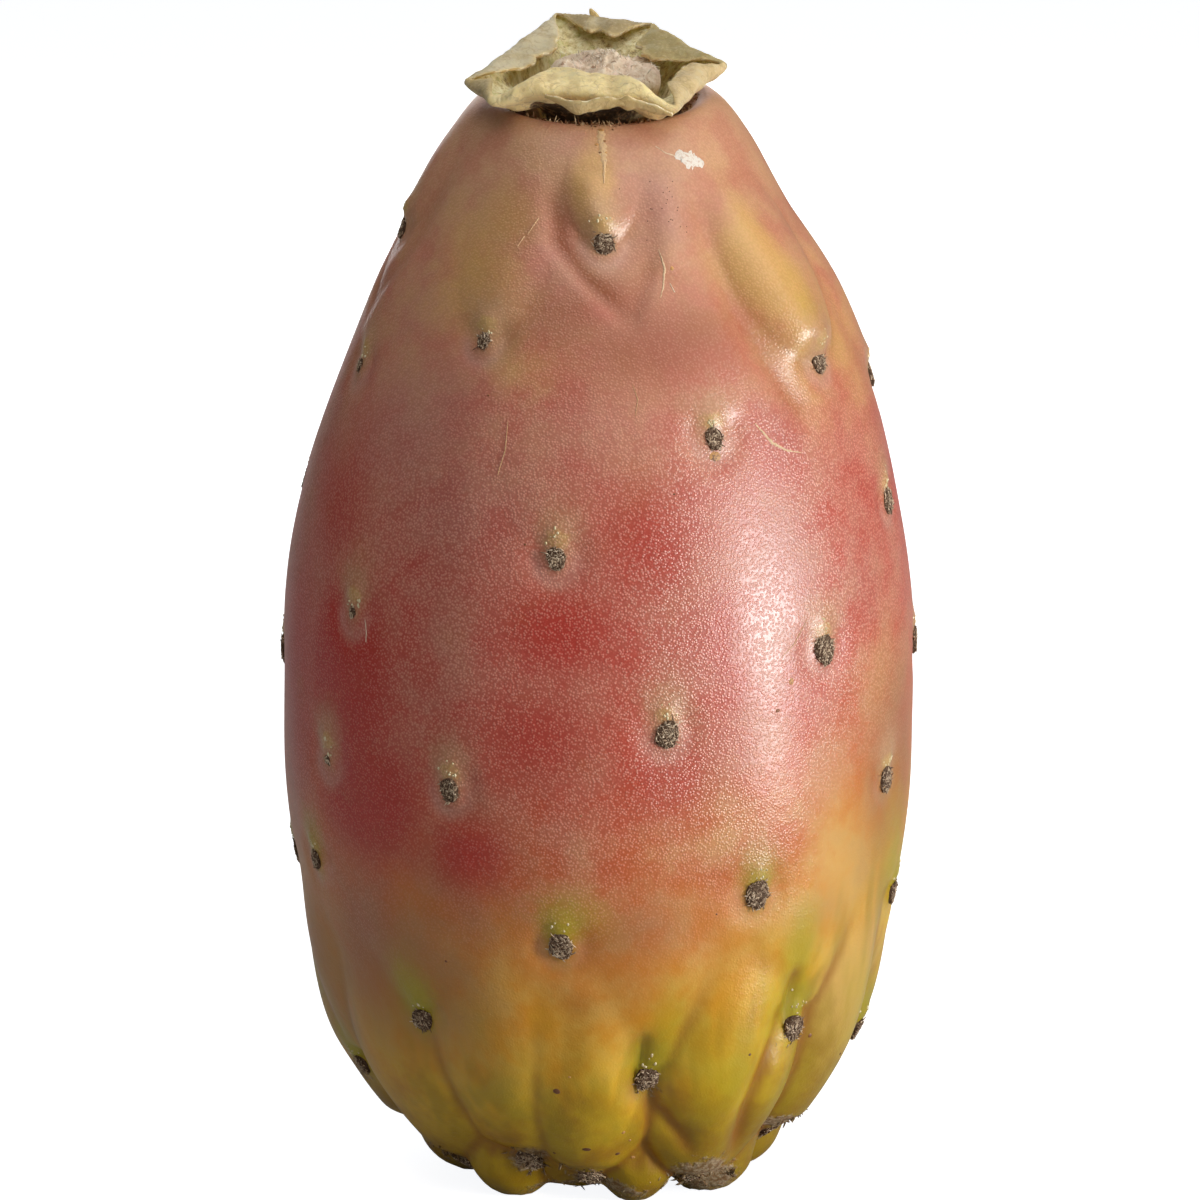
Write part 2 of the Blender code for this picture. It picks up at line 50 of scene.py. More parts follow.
# %% [markdown]
# ## Camera
# The photograph was taken from a little above and from far off, because the collar shows its inside
# while the fruit's sides hardly converge. A long lens at 0.45 m gives the same view.

# %% The camera
LOOK_DOWN = math.radians(12)
DISTANCE = 0.450
TARGET = Vector((0.0, 0.0, 0.043))
WIDTH_AT_TARGET = 0.09108      # metres across the picture there

camera = bpy.data.objects.new("camera", bpy.data.cameras.new("camera"))
camera.data.sensor_width = 36.0
camera.data.lens = 36.0 * DISTANCE / WIDTH_AT_TARGET
camera.data.shift_x, camera.data.shift_y = 0.00125, 0.0097
camera.data.clip_start = 0.01
camera.location = TARGET + DISTANCE * Vector((0.0, -math.cos(LOOK_DOWN), math.sin(LOOK_DOWN)))
camera.rotation_euler = (math.radians(90) - LOOK_DOWN, 0.0, 0.0)
bpy.context.scene.collection.objects.link(camera)
bpy.context.scene.camera = camera
bpy.context.scene.view_settings.view_transform = "Standard"
print("lens", round(camera.data.lens, 1), "mm")

# %% [markdown]
# ## Light
# The fruit was lit by one broad, soft light from its right, a little to the front: the skin there has
# a tall pale gleam, and the left edge falls into brown shade. A tall softbox does that, with a small
# one close to the fruit that only the wax mirrors. A single lamp would give the same shade, but a hard
# and narrow gleam. The rest is a wide box above, a weak one on the left, two behind and a weak sky.


# %% Softboxes and sky
def softbox(name, at, size, power, colour=(1.0, 1.0, 1.0), aim=TARGET):
    """A rectangular soft light that faces the fruit."""
    data = bpy.data.lights.new(name, "AREA")
    data.shape = "RECTANGLE"
    data.size, data.size_y = size
    data.energy = power
    data.color = colour
    light = bpy.data.objects.new(name, data)
    light.location = at
    light.rotation_euler = (Vector(at) - Vector(aim)).to_track_quat("Z", "Y").to_euler()
    light.visible_camera = False
    bpy.context.scene.collection.objects.link(light)
    return light


softbox("key", (0.47, -0.27, 0.040), (0.070, 0.26), 3.15, (1.0, 0.985, 0.96))
softbox("top", (0.12, -0.14, 0.60), (0.80, 0.80), 3.1, (1.0, 0.99, 0.98))
gleam = softbox("gleam", (0.192, -0.108, 0.027), (0.036, 0.052), 0.40, (1.0, 0.985, 0.97))
gleam.visible_diffuse = False      # only its mirror image on the waxy skin
fill = softbox("fill", (-0.40, -0.55, 0.20), (0.40, 0.40), 0.28, (0.95, 0.97, 1.0))
fill.visible_glossy = False        # it opens the shade, without a haze over the red
softbox("back", (-0.05, 0.60, 0.16), (0.30, 0.30), 0.60, (0.97, 0.98, 1.0))
wash = softbox("back wash", (-0.05, 0.62, 0.28), (0.50, 0.50), 1.50, (0.97, 0.98, 1.0))
wash.visible_glossy = False        # it opens the side behind, without a gleam on the edges

SKY, SKY_STRENGTH = (0.93, 0.96, 1.0, 1.0), 0.045
world = bpy.data.worlds.new("studio")
world.use_nodes = True
sky = world.node_tree.nodes["Background"]
sky.inputs["Color"].default_value = SKY
sky.inputs["Strength"].default_value = SKY_STRENGTH
bpy.context.scene.world = world

# %% [markdown]
# ## Shaping helpers
# Every piece below is worked out as arrays of points, because its form follows a formula that no
# modelling tool has. These functions do the shaping: a smooth step, a rounded maximum, a seeded wavy
# field, and a mesh object made from points and faces.


# %% Shaping helpers
def ease(x, low, high):
    """0 below low, 1 above high, smooth between."""
    t = np.clip((x - low) / (high - low), 0.0, 1.0)
    return t * t * (3.0 - 2.0 * t)


def smooth_max(a, b, reach):
    """The larger of a and b, rounded where they are nearly equal."""
    near = np.maximum(reach - np.abs(a - b), 0.0)
    return np.maximum(a, b) + near * near / (4.0 * reach)


def waves(points, length, seed, count=8):
    """A smooth uneven field over points, about -1 to 1, of seeded sine waves of about one length."""
    draw = np.random.default_rng(seed)
    way = draw.normal(size=(count, 3))
    way *= (math.tau / length * draw.uniform(0.7, 1.4, count) / np.linalg.norm(way, axis=1))[:, None]
    return 1.6 * np.sin(np.asarray(points) @ way.T + draw.uniform(0.0, math.tau, count)).mean(axis=1)


def new_object(name, points, faces):
    """A smooth-shaded mesh object from points and faces."""
    mesh = bpy.data.meshes.new(name)
    mesh.from_pydata(np.asarray(points).tolist(), [], faces)
    mesh.update()
    mesh.shade_smooth()
    obj = bpy.data.objects.new(name, mesh)
    bpy.context.scene.collection.objects.link(obj)
    return obj


def set_mask(obj, name, values):
    """Stores one number a point under a name that a material can read."""
    layer = obj.data.attributes.new(name, "FLOAT", "POINT")
    layer.data.foreach_set("value", np.asarray(values, dtype=np.float32).ravel())


def grid_faces(rows, steps, top=False, bottom=False):
    """Faces of a grid that closes on itself round the axis, with a single point above or below it."""
    start = 1 if top else 0
    at = start + np.arange(rows * steps).reshape(rows, steps)
    right = np.roll(at, -1, axis=1)
    quads = np.stack([at[:-1], at[1:], right[1:], right[:-1]], axis=-1).reshape(-1, 4).tolist()
    if top:
        quads += [[0, int(a), int(b)] for a, b in zip(at[0], right[0])]
    if bottom:
        last = start + rows * steps
        quads += [[last, int(b), int(a)] for a, b in zip(at[-1], right[-1])]
    return quads


# %% [markdown]
# ## Floor
# A plain pale floor that curves up far away on all sides, like a paper sweep turned into a bowl, so
# there is no horizon line from any side. A flat plane would show its edge in a low view.

# %% The floor
FLOOR_FLAT, FLOOR_RISE = 0.9, 0.9      # radius of the flat part, and how high the bowl's side goes
FLOOR_STEPS, BEND_ROWS = 96, 24
FLAT_RINGS = (0.05, 0.2, 0.5, 0.75)
PAPER, PAPER_WHITE = (0.50, 0.50, 0.49, 1.0), (0.97, 0.98, 1.0, 1.0)
PAPER_GLOW = 0.94                      # light that only the camera sees, so the paper looks white

bend = np.linspace(0.0, 0.5 * math.pi, BEND_ROWS)
bowl = np.column_stack([FLOOR_FLAT + FLOOR_RISE * np.sin(bend), FLOOR_RISE * (1.0 - np.cos(bend))])
bowl = np.vstack([[(r, 0.0) for r in FLAT_RINGS], bowl])[::-1]
round_floor = np.arange(FLOOR_STEPS) * math.tau / FLOOR_STEPS
rim_points = np.stack(
    [np.outer(bowl[:, 0], np.cos(round_floor)), np.outer(bowl[:, 0], np.sin(round_floor)),
     np.repeat(bowl[:, 1:], FLOOR_STEPS, axis=1)], axis=-1).reshape(-1, 3)
floor = new_object(
    "floor", np.vstack([rim_points, [(0.0, 0.0, 0.0)]]),
    grid_faces(len(bowl), FLOOR_STEPS, bottom=True),
)
paper = bpy.data.materials.new("pale paper")
paper.use_nodes = True
paper_shader = paper.node_tree.nodes["Principled BSDF"]
paper_shader.inputs["Base Color"].default_value = PAPER
paper_shader.inputs["Roughness"].default_value = 0.9
paper_shader.inputs["Specular IOR Level"].default_value = 0.0
paper_shader.inputs["Emission Color"].default_value = PAPER_WHITE
seen = paper.node_tree.nodes.new("ShaderNodeLightPath")
glow = paper.node_tree.nodes.new("ShaderNodeMath")
glow.operation = "MULTIPLY"
glow.inputs[1].default_value = PAPER_GLOW
paper.node_tree.links.new(seen.outputs["Is Camera Ray"], glow.inputs[0])
paper.node_tree.links.new(glow.outputs[0], paper_shader.inputs["Emission Strength"])
floor.data.materials.append(paper)
print("floor bowl", round(FLOOR_FLAT + FLOOR_RISE, 2), "m in radius")

# %% [markdown]
# ## The form of the fruit
# The berry is a turned outline with low tubercles raised from it, each ending below in an areole. The
# same numbers and the same formula shaped the plain solid, so the fine skin lies on it everywhere:
# only the spacing of the points is closer, and the small relief is added on top.

# %% Numbers of the form
OUTLINE = (
    (0.0, 0.0801), (0.0052, 0.0801), (0.0063, 0.0806), (0.0070, 0.0818), (0.0080, 0.0824),
    (0.0093, 0.0817), (0.0112, 0.0791), (0.0132, 0.0751), (0.0171, 0.0676), (0.0200, 0.0601),
    (0.0221, 0.0526), (0.0234, 0.0446), (0.0236, 0.0371), (0.0233, 0.0291), (0.0223, 0.0226),
    (0.0203, 0.0161), (0.0182, 0.0111), (0.0156, 0.0070), (0.0130, 0.0038), (0.0114, 0.0020),
    (0.0101, 0.0015), (0.0088, 0.0021), (0.0074, 0.0038), (0.0050, 0.0053), (0.0020, 0.0059), (0.0, 0.0058),
)
RIM = 20
STEM_TILT = math.radians(9)
TILT_FROM, TILT_TO = 0.057, 0.081
LOBES_END, LOBES_GONE = 0.078, 0.090
SIDE_SWELL, SIDE_SWELL_AT, SIDE_SWELL_REACH = 0.0005, 0.065, 0.010
# (turn in degrees from the front, height, rise of the tubercle, its half width)
FRONT_AREOLES = (
    (1, 0.0749, 0.0010, 0.0034), (-30, 0.0671, 0.0006, 0.0050), (-71, 0.0631, 0.0005, 0.0060),
    (56, 0.0643, 0.0016, 0.0054), (23, 0.0598, 0.0005, 0.0060), (92, 0.0611, 0.0008, 0.0060),
    (73, 0.0528, 0.0005, 0.0070), (-8, 0.0516, 0.0005, 0.0070), (-50, 0.0461, 0.0003, 0.0080),
    (44, 0.0438, 0.0004, 0.0080), (-92, 0.0401, 0.0003, 0.0080), (90, 0.0409, 0.0003, 0.0080),
    (12, 0.0389, 0.0003, 0.0080), (-57, 0.0346, 0.0003, 0.0080), (-27, 0.0343, 0.0003, 0.0080),
    (64, 0.0325, 0.0004, 0.0080), (-65, 0.0262, 0.0004, 0.0075), (30, 0.0262, 0.0004, 0.0080),
    (-7, 0.0229, 0.0005, 0.0075), (79, 0.0223, 0.0005, 0.0075), (-39, 0.0157, 0.0007, 0.0065),
    (44, 0.0149, 0.0008, 0.0060), (11, 0.0117, 0.0009, 0.0055), (-78, 0.0093, 0.0015, 0.0064),
    (84, 0.0115, 0.0008, 0.0060),
)
CROWN_AREOLES = (
    (-3, 0.0030, 0.0019, 0.0060), (32, 0.0028, 0.0030, 0.0068), (63, 0.0048, 0.0022, 0.0050),
    (90, 0.0036, 0.0019, 0.0054), (121, 0.0028, 0.0023, 0.0060), (150, 0.0038, 0.0018, 0.0056),
    (179, 0.0028, 0.0023, 0.0060), (207, 0.0038, 0.0019, 0.0058), (236, 0.0028, 0.0024, 0.0060),
    (270, 0.0036, 0.0024, 0.0064), (306, 0.0024, 0.0019, 0.0078), (338, 0.0042, 0.0014, 0.0072),
)
RIM_LOBES = (
    (14, 0.0022, 0.0035), (47, 0.0025, 0.0042), (76, 0.0018, 0.0036), (106, 0.0022, 0.0040),
    (137, 0.0018, 0.0038), (165, 0.0022, 0.0040), (194, 0.0017, 0.0038), (222, 0.0022, 0.0040),
    (250, 0.0016, 0.0038), (289, 0.0017, 0.0042), (325, 0.0023, 0.0040), (352, 0.0009, 0.0046),
)
RIM_ALONG = -0.0008
GOLDEN_TURN = math.radians(137.5)
BACK_TOP, BACK_BOTTOM, BACK_STEP = 0.0747, 0.0102, 0.00142
BACK_SECTOR, BACK_CLEAR, BACK_JITTER = math.radians(84), 0.0090, 0.0009
BACK_RISE, BACK_WIDTH = (0.0004, 0.0006, 0.0004), (0.0080, -0.0040, -0.0018)
SEED = 11
SIDE_LOBE, CROWN_LOBE, RIM_LOBE = (0.0190, 0.0009), (0.0250, 0.0026), (0.0095, 0.0005)
LOBE_NOSE = 0.125
VALLEY, VALLEY_SIDE, VALLEY_RIM = 0.00016, 0.00047, 0.00090
SIDE_VALLEYS, RIM_VALLEYS = (0.006, 0.030), (0.001, 0.007)
STEM_FROM, STEM_TO, STEM_SPAN = 0.072, 0.080, 0.0110
FURROW, FURROW_TOE, FURROW_WIDTH = 0.00036, 0.0055, 0.6
FURROW_POINT, FURROW_SLANT, FURROW_FADE = 0.45, 0.24, 0.4
CRISP = 0.5                            # width of the valleys, set against those of the plain solid
# single ridges and creases of the front: (rise, half width, places as (turn in degrees, height) along it)
FOLDS = (
    (0.00035, 0.0013, ((-3, 0.0800), (-2.5, 0.0775), (0, 0.0757))),
    (0.00035, 0.0017, ((24, 0.0800), (21.5, 0.0772), (20, 0.0745), (18, 0.0720))),
    (-0.00055, 0.0014, ((36, 0.0790), (36, 0.0770), (35.5, 0.0735), (36.5, 0.0690), (41, 0.0645),
                        (46, 0.0612), (51, 0.0596))),
    (0.00050, 0.0022, ((43, 0.0790), (44, 0.0750), (47, 0.0705), (52, 0.0668), (56, 0.0650))),
    (-0.00060, 0.0014, ((9, 0.0170), (9, 0.0145), (8.5, 0.0118), (13, 0.0098), (19.7, 0.0080),
                        (25, 0.0062))),
    (-0.00070, 0.0014, ((41.5, 0.0205), (40.5, 0.0172), (38.4, 0.0150), (35.6, 0.0124), (34, 0.0100),
                        (37, 0.0062), (42, 0.0035))),
    (-0.00035, 0.0018, ((-5, 0.0200), (-6, 0.0170), (-7.5, 0.0134), (-9.4, 0.0078))),
)
print(len(OUTLINE), "points on the outline,", len(FRONT_AREOLES) + len(CROWN_AREOLES), "placed areoles")

# %% [markdown]
# The outline becomes a smooth curve with evenly spaced points, closer where the form is fine. The
# distance along it, counted from the crown's rim up the side, is the height coordinate of the skin.


# %% The outline as a curve
def run_along(points):
    """The distance along a line of points, at each of them."""
    return np.concatenate([[0.0], np.cumsum(np.linalg.norm(np.diff(points, axis=0), axis=1))])


def curve_through(points, spacing):
    """Points at an even spacing on a smooth curve through the given ones."""
    p = np.array(points, float)
    knots = np.concatenate([[0.0], np.cumsum(np.sqrt(np.linalg.norm(np.diff(p, axis=0), axis=1)))])
    slope = np.gradient(p, knots, axis=0)
    fine = []
    for i in range(len(p) - 1):
        span = knots[i + 1] - knots[i]
        t = np.linspace(0.0, 1.0, 24, endpoint=False)[:, None]
        fine.append(
            (2 * t**3 - 3 * t**2 + 1) * p[i] + (t**3 - 2 * t**2 + t) * span * slope[i]
            + (3 * t**2 - 2 * t**3) * p[i + 1] + (t**3 - t**2) * span * slope[i + 1]
        )
    fine = np.vstack(fine + [p[-1:]])
    run = run_along(fine)
    at = np.linspace(0.0, run[-1], max(3, round(run[-1] / spacing) + 1))
    return np.column_stack([np.interp(at, run, fine[:, k]) for k in range(p.shape[1])])


class Outline:
    """The berry's outline from the hollow under the stem down to the flower scar."""

    def __init__(self, spacing):
        fine = curve_through(OUTLINE, 0.00005)
        run = run_along(fine)
        rim = np.argmin(np.linalg.norm(fine - np.array(OUTLINE[RIM]), axis=1))
        along = run[rim] - run
        wide = 0.75 + 0.40 * ease(along, 0.010, 0.030) * (1.0 - ease(along, 0.070, 0.084))
        count = np.cumsum(np.gradient(run) / (spacing * wide))
        pick = np.interp(np.linspace(count[0], count[-1], round(count[-1])), count, np.arange(len(run)))
        pick = np.unique(np.round(pick).astype(int))
        self.rows, self.along = fine[pick], along[pick]
        tangent = np.gradient(fine, axis=0)[pick]
        tangent /= np.linalg.norm(tangent, axis=1)[:, None]
        self.normal = np.column_stack([-tangent[:, 1], tangent[:, 0]])

    def at(self, along):
        """Radius, height and outward normal at a distance along."""
        r, z = (float(np.interp(along, self.along[::-1], self.rows[::-1, k])) for k in range(2))
        n = [float(np.interp(along, self.along[::-1], self.normal[::-1, k])) for k in range(2)]
        return r, z, Vector(n).normalized()

    def along_at_height(self, z):
        """The distance along at a height of the outer side, from the rim up to the highest point."""
        side = (self.along >= 0.0) & (np.arange(len(self.along)) >= np.argmax(self.rows[:, 1]))
        return float(np.interp(z, self.rows[side][::-1, 1], self.along[side][::-1]))


SKIN_ROW = 0.00046
outline = Outline(SKIN_ROW)
print(len(outline.rows), "rows of points, along", outline.along[0].round(4), "to", outline.along[-1].round(4))

# %% [markdown]
# ## Where the areoles sit
# The areoles of the front are where the photograph shows them. Those behind follow the golden angle,
# the turn at which cactus areoles really follow each other, with a little seeded unevenness.


# %% Laying out the areoles
def lay_out_areoles():
    """Every areole: turn, distance along, its tubercle's rise, half width and (length, toe)."""
    def listed(table, size):
        return [
            (math.radians(turn), outline.along_at_height(height), rise, half_width, size)
            for turn, height, rise, half_width in table
        ]

    draw = random.Random(SEED)
    placed = listed(FRONT_AREOLES, SIDE_LOBE) + listed(CROWN_AREOLES, CROWN_LOBE)
    for n in range(int((BACK_TOP - BACK_BOTTOM) / BACK_STEP)):
        turn = math.remainder(n * GOLDEN_TURN, math.tau)
        height = BACK_TOP - n * BACK_STEP + draw.uniform(-BACK_JITTER, BACK_JITTER)
        along = outline.along_at_height(height)
        radius = outline.at(along)[0]
        clear = all(
            math.hypot(radius * math.remainder(turn - other[0], math.tau), along - other[1]) > BACK_CLEAR
            for other in placed
        )
        if abs(turn) > BACK_SECTOR and clear:
            ends = np.array([1.0, ease(height, 0.058, 0.074), 1.0 - ease(height, 0.010, 0.026)])
            placed.append((turn, along, float(ends @ BACK_RISE), float(ends @ BACK_WIDTH), SIDE_LOBE))
    rim = [(math.radians(turn), RIM_ALONG, rise, width, RIM_LOBE) for turn, rise, width in RIM_LOBES]
    return placed + rim


areoles = lay_out_areoles()
print(len(areoles), "areoles")

# %% [markdown]
# ## The skin's relief
# Three layers of relief are added up: the tubercles and the furrows of the plain solid, the small
# forms round each areole (a shallow dimple with a swelling above it, where the leaf stood), and broad
# dents of a tenth of a millimetre, which break up the gleam as on a real fruit.


# %% Tubercles and furrows
def across(turn, a_turn, radius):
    """Distance round the fruit from an areole."""
    return radius * (np.remainder(turn - a_turn + math.pi, math.tau) - math.pi)


def spot(side, up, half_side, half_up):
    """1 in the middle of a place and less round it, as a soft ellipse."""
    return np.exp(-(side / half_side) ** 2 - (up / half_up) ** 2)


def lobes(turn, along, radius):
    """How far the skin stands out of the turned outline at each point, and how deep its furrows are."""
    rise, furrow = np.zeros_like(turn), np.zeros_like(turn)
    reach = VALLEY + VALLEY_SIDE * ease(along, *SIDE_VALLEYS) + VALLEY_RIM * (1.0 - ease(along, *RIM_VALLEYS))
    reach *= CRISP
    for a_turn, a_along, height, half_width, (span, toe) in areoles:
        up = along - a_along
        side = across(turn, a_turn, radius)
        stem = float(ease(a_along, STEM_FROM, STEM_TO))
        length = span + stem * (STEM_SPAN - span)
        fullness = np.sin(0.5 * math.pi * np.clip(up / (0.45 * length) + 0.1, 0.0, 1.0))
        width = half_width * (0.40 + 0.60 * fullness) * (1.0 - 0.3 * ease(up, 0.5 * length, length))
        swell = ease(up, -toe, LOBE_NOSE * length) * (1.0 - ease(up, 0.35 * length, length))
        bump = height * swell * (1.0 - (side / width) ** 2)
        rise = smooth_max(rise, np.maximum(bump, -height), reach)
        if stem > 0.0:
            below = np.clip(up / FURROW_TOE, -1.5, 0.0)
            aside = side + FURROW_SLANT * FURROW_TOE * below
            inside = 1.0 - (aside / (half_width * (1.0 + FURROW_POINT * below))) ** 2 - below**2
            ring = np.exp(-(inside / FURROW_WIDTH) ** 2) * (1.0 - FURROW_FADE * ease(aside, -0.001, 0.004))
            furrow += stem * FURROW * ring * (1.0 - ease(up, 0.1 * length, 0.7 * length))
    rise = rise * (1.0 - ease(-along, 0.002, 0.006)) - furrow
    fade = 1.0 - ease(along, LOBES_END, LOBES_GONE)
    return rise * fade, furrow * fade


def folds(turn, along, radius, table):
    """How far the listed ridges and creases lift the skin, at each point."""
    lift = np.zeros_like(turn)
    for rise, half_width, path in table:
        places = [(math.radians(degrees), outline.along_at_height(height)) for degrees, height in path]
        nearest, done = np.full_like(turn, 1.0), np.zeros_like(turn)
        for number, (start, end) in enumerate(zip(places, places[1:])):
            side = across(turn, start[0], radius)
            up = along - start[1]
            to_side, to_up = radius * (end[0] - start[0]), end[1] - start[1]
            part = np.clip((side * to_side + up * to_up) / (to_side**2 + to_up**2), 0.0, 1.0)
            away = np.hypot(side - part * to_side, up - part * to_up)
            done = np.where(away < nearest, (number + part) / (len(places) - 1), done)
            nearest = np.minimum(nearest, away)
        taper = ease(done, 0.0, 0.25) * (1.0 - ease(done, 0.75, 1.0))
        lift += rise * taper * np.exp(-(nearest / half_width) ** 2)
    return lift


def place_on_berry(radius, height, turn):
    """Points of the berry from radius, height and turn, with its lean and its fuller side."""
    x = radius * np.sin(turn) + SIDE_SWELL * np.exp(-((height - SIDE_SWELL_AT) / SIDE_SWELL_REACH) ** 2)
    y = -radius * np.cos(turn)
    z = height + math.tan(STEM_TILT) * y * ease(height, TILT_FROM, TILT_TO)
    return np.column_stack([x, y, z])


# %% [markdown]
# The small forms are finer than the solid's triangles, so they are only here: a ring-shaped dimple and a
# swelling at each areole, slits in the creases of the crown, and dents.

# %% Relief round the areoles
DIMPLE, DIMPLE_RADIUS, DIMPLE_AT, DIMPLE_BREADTH = 0.00016, 0.0019, 0.9, 0.42
BROW, BROW_WIDTH, BROW_HEIGHT, BROW_UP = 0.00034, 0.00095, 0.0008, 0.0016
DENT, DENT_LENGTH = 0.00010, 0.013
# thin slits and creases, in the same form as FOLDS
SLITS = (
    (-0.00034, 0.00048, ((9.6, 0.0166), (9.0, 0.0140), (8.4, 0.0116), (8.4, 0.0100))),
    (-0.00034, 0.00048, ((41.4, 0.0205), (41.8, 0.0180), (42.0, 0.0155), (42.4, 0.0140))),
    (-0.00032, 0.00055, ((39.5, 0.0157), (37.5, 0.0140), (35.6, 0.0120), (34.2, 0.0100), (36, 0.0072),
                         (40, 0.0045))),
    (-0.00026, 0.00055, ((13, 0.0100), (17, 0.0088), (21, 0.0075), (25, 0.0060))),
    (-0.00022, 0.00050, ((-34, 0.0046), (-31, 0.0054), (-27, 0.0046))),
    (-0.00022, 0.00050, ((9, 0.0040), (14, 0.0054), (19, 0.0040))),
)


def areole_relief(turn, along, radius):
    """The dimple and the brow of each areole on the sides."""
    rise = np.zeros_like(turn)
    for a_turn, a_along, _, _, shape in areoles:
        up, side = along - a_along, across(turn, a_turn, radius)
        near = np.hypot(side, up) / DIMPLE_RADIUS
        rise -= DIMPLE * np.exp(-((near - DIMPLE_AT) / DIMPLE_BREADTH) ** 2)
        if shape == SIDE_LOBE:
            rise += BROW * spot(side, up - BROW_UP, BROW_WIDTH, BROW_HEIGHT)
    return rise


# %% [markdown]
# The skin is one closed grid: rows down the outline, steps round it, and a single point at each end.
# A subdivided coarse mesh would round off the sharp valleys of the crown, so the points are set
# directly from the formula.

# %% The skin's mesh
SKIN_STEPS = 384
ring_turns = np.arange(SKIN_STEPS) * math.tau / SKIN_STEPS
inner_rows = len(outline.rows) - 2
turn = np.tile(ring_turns, inner_rows)
along = np.repeat(outline.along[1:-1], SKIN_STEPS)
base_radius = np.repeat(outline.rows[1:-1, 0], SKIN_STEPS)
base_height = np.repeat(outline.rows[1:-1, 1], SKIN_STEPS)
normal = np.repeat(outline.normal[1:-1], SKIN_STEPS, axis=0)

lobe_rise, furrow_depth = lobes(turn, along, base_radius)
lobe_rise += folds(turn, along, base_radius, FOLDS)
dent = DENT * waves(place_on_berry(base_radius, base_height, turn), DENT_LENGTH, 3) * ease(along, 0.0, 0.010)
slits = folds(turn, along, base_radius, SLITS)
rise = lobe_rise + slits + areole_relief(turn, along, base_radius) + dent * (1.0 - ease(along, 0.082, 0.090))
skin_points = place_on_berry(base_radius + rise * normal[:, 0], base_height + rise * normal[:, 1], turn)
ends = place_on_berry(outline.rows[[0, -1], 0], outline.rows[[0, -1], 1], np.zeros(2))
skin_points = np.vstack([ends[:1], skin_points, ends[1:]])
skin_points[:, 2] = np.maximum(skin_points[:, 2], 0.0)
skin = new_object("fruit_skin", skin_points, grid_faces(inner_rows, SKIN_STEPS, top=True, bottom=True))
print("skin:", len(skin.data.vertices), "points,", 2 * len(skin.data.polygons), "triangles at most")

# %% [markdown]
# ## Masks on the skin
# Where a colour follows the form (the green above an areole, cork on the crown, painted shade in a
# furrow, the blush) it is worked out here for every point and stored under a name. The material then
# frays the edges of these masks with noise. Painting an image would give the same, but it would fit
# only this one mesh.


# %% Masks that follow the areoles
def to_skin(values):
    """A number for every point of the skin, with the two end points added."""
    grid = values.reshape(inner_rows, SKIN_STEPS)
    return np.concatenate([[grid[0].mean()], values, [grid[-1].mean()]])


FAN_FOOT, FAN_SLOPE, FAN_TOP = 0.0012, 0.30, 0.004           # the green fan widens up to its top
HALO_UP, HALO_HEIGHT = 0.0014, 0.0027
BUD_WIDTH, BUD_UP, BUD_HEIGHT = 0.0009, 0.0014, 0.0007
RING_RADIUS, RING_BREADTH, RING_SQUASH, RING_ENDS = 0.0015, 0.00045, 0.85, (-0.0006, 0.0010)
TIP_CORK, TIP_WIDTH, TIP_HEIGHT = 0.8, 0.0014, 0.0013

halo, brow, pale_ring, cork = (np.zeros_like(turn) for _ in range(4))
for a_turn, a_along, _, _, shape in areoles:
    up, side = along - a_along, across(turn, a_turn, base_radius)
    if shape == SIDE_LOBE:
        fan = FAN_FOOT + FAN_SLOPE * np.clip(up, 0.0, FAN_TOP)
        halo = np.maximum(halo, spot(side, up - HALO_UP, fan, HALO_HEIGHT))
        brow = np.maximum(brow, spot(side, up - BUD_UP, BUD_WIDTH, BUD_HEIGHT))
        ring = np.exp(-((np.hypot(side, RING_SQUASH * up) - RING_RADIUS) / RING_BREADTH) ** 2)
        pale_ring = np.maximum(pale_ring, ring * (1.0 - ease(up, *RING_ENDS)))
    else:
        cork = np.maximum(cork, TIP_CORK * spot(side, up, TIP_WIDTH, TIP_HEIGHT))
print("skin near an areole:", round(float((halo > 0.3).mean()), 3), "of it")

# %% [markdown]
# The blush and the cork that the photograph shows at certain places are soft ellipses, each given by
# its turn, its height and its half sizes. Behind, where nothing is seen, seeded ones carry on.

# %% Blush, cork and green at their places
# (turn in degrees, height, half width round the fruit, half height, strength)
BLUSH = (
    (-52, 0.0410, 0.0055, 0.0080, 1.15), (-46, 0.0325, 0.0062, 0.0055, 1.05),
    (-24, 0.0295, 0.0042, 0.0038, 0.80), (-7, 0.0465, 0.0058, 0.0042, 0.68),
    (8, 0.0530, 0.0048, 0.0050, 0.55), (-12, 0.0385, 0.0062, 0.0050, 0.60),
    (12, 0.0352, 0.0050, 0.0040, 0.55), (-60, 0.0530, 0.0050, 0.0070, 0.55),
    (55, 0.0540, 0.0055, 0.0048, 0.12), (-24, 0.0500, 0.0040, 0.0050, 0.25),
    (12, 0.0672, 0.0070, 0.0045, 0.42), (0, 0.0700, 0.0045, 0.0022, 0.45),
    (-36, 0.0300, 0.0040, 0.0040, 0.55), (18, 0.0455, 0.0040, 0.0050, 0.35),
    (-72, 0.0400, 0.0060, 0.0110, 0.80),
)
STRAW = (
    (-38, 0.0715, 0.0045, 0.0055, 0.75), (-30, 0.0760, 0.0030, 0.0035, 0.60),
    (46, 0.0715, 0.0026, 0.0060, 1.00), (-2, 0.0785, 0.0015, 0.0038, 1.25),
    (26, 0.0318, 0.0060, 0.0042, 0.42), (62, 0.0400, 0.0045, 0.0080, 0.35),
    (50, 0.0620, 0.0040, 0.0040, 0.40), (-18, 0.0655, 0.0045, 0.0035, 0.45),
    (70, 0.0650, 0.0050, 0.0080, 0.50), (8, 0.0300, 0.0050, 0.0030, 0.30),
    (50, 0.0685, 0.0022, 0.0050, 0.90), (52, 0.0255, 0.0060, 0.0060, 0.60),
    (62, 0.0180, 0.0055, 0.0070, 0.90),
)
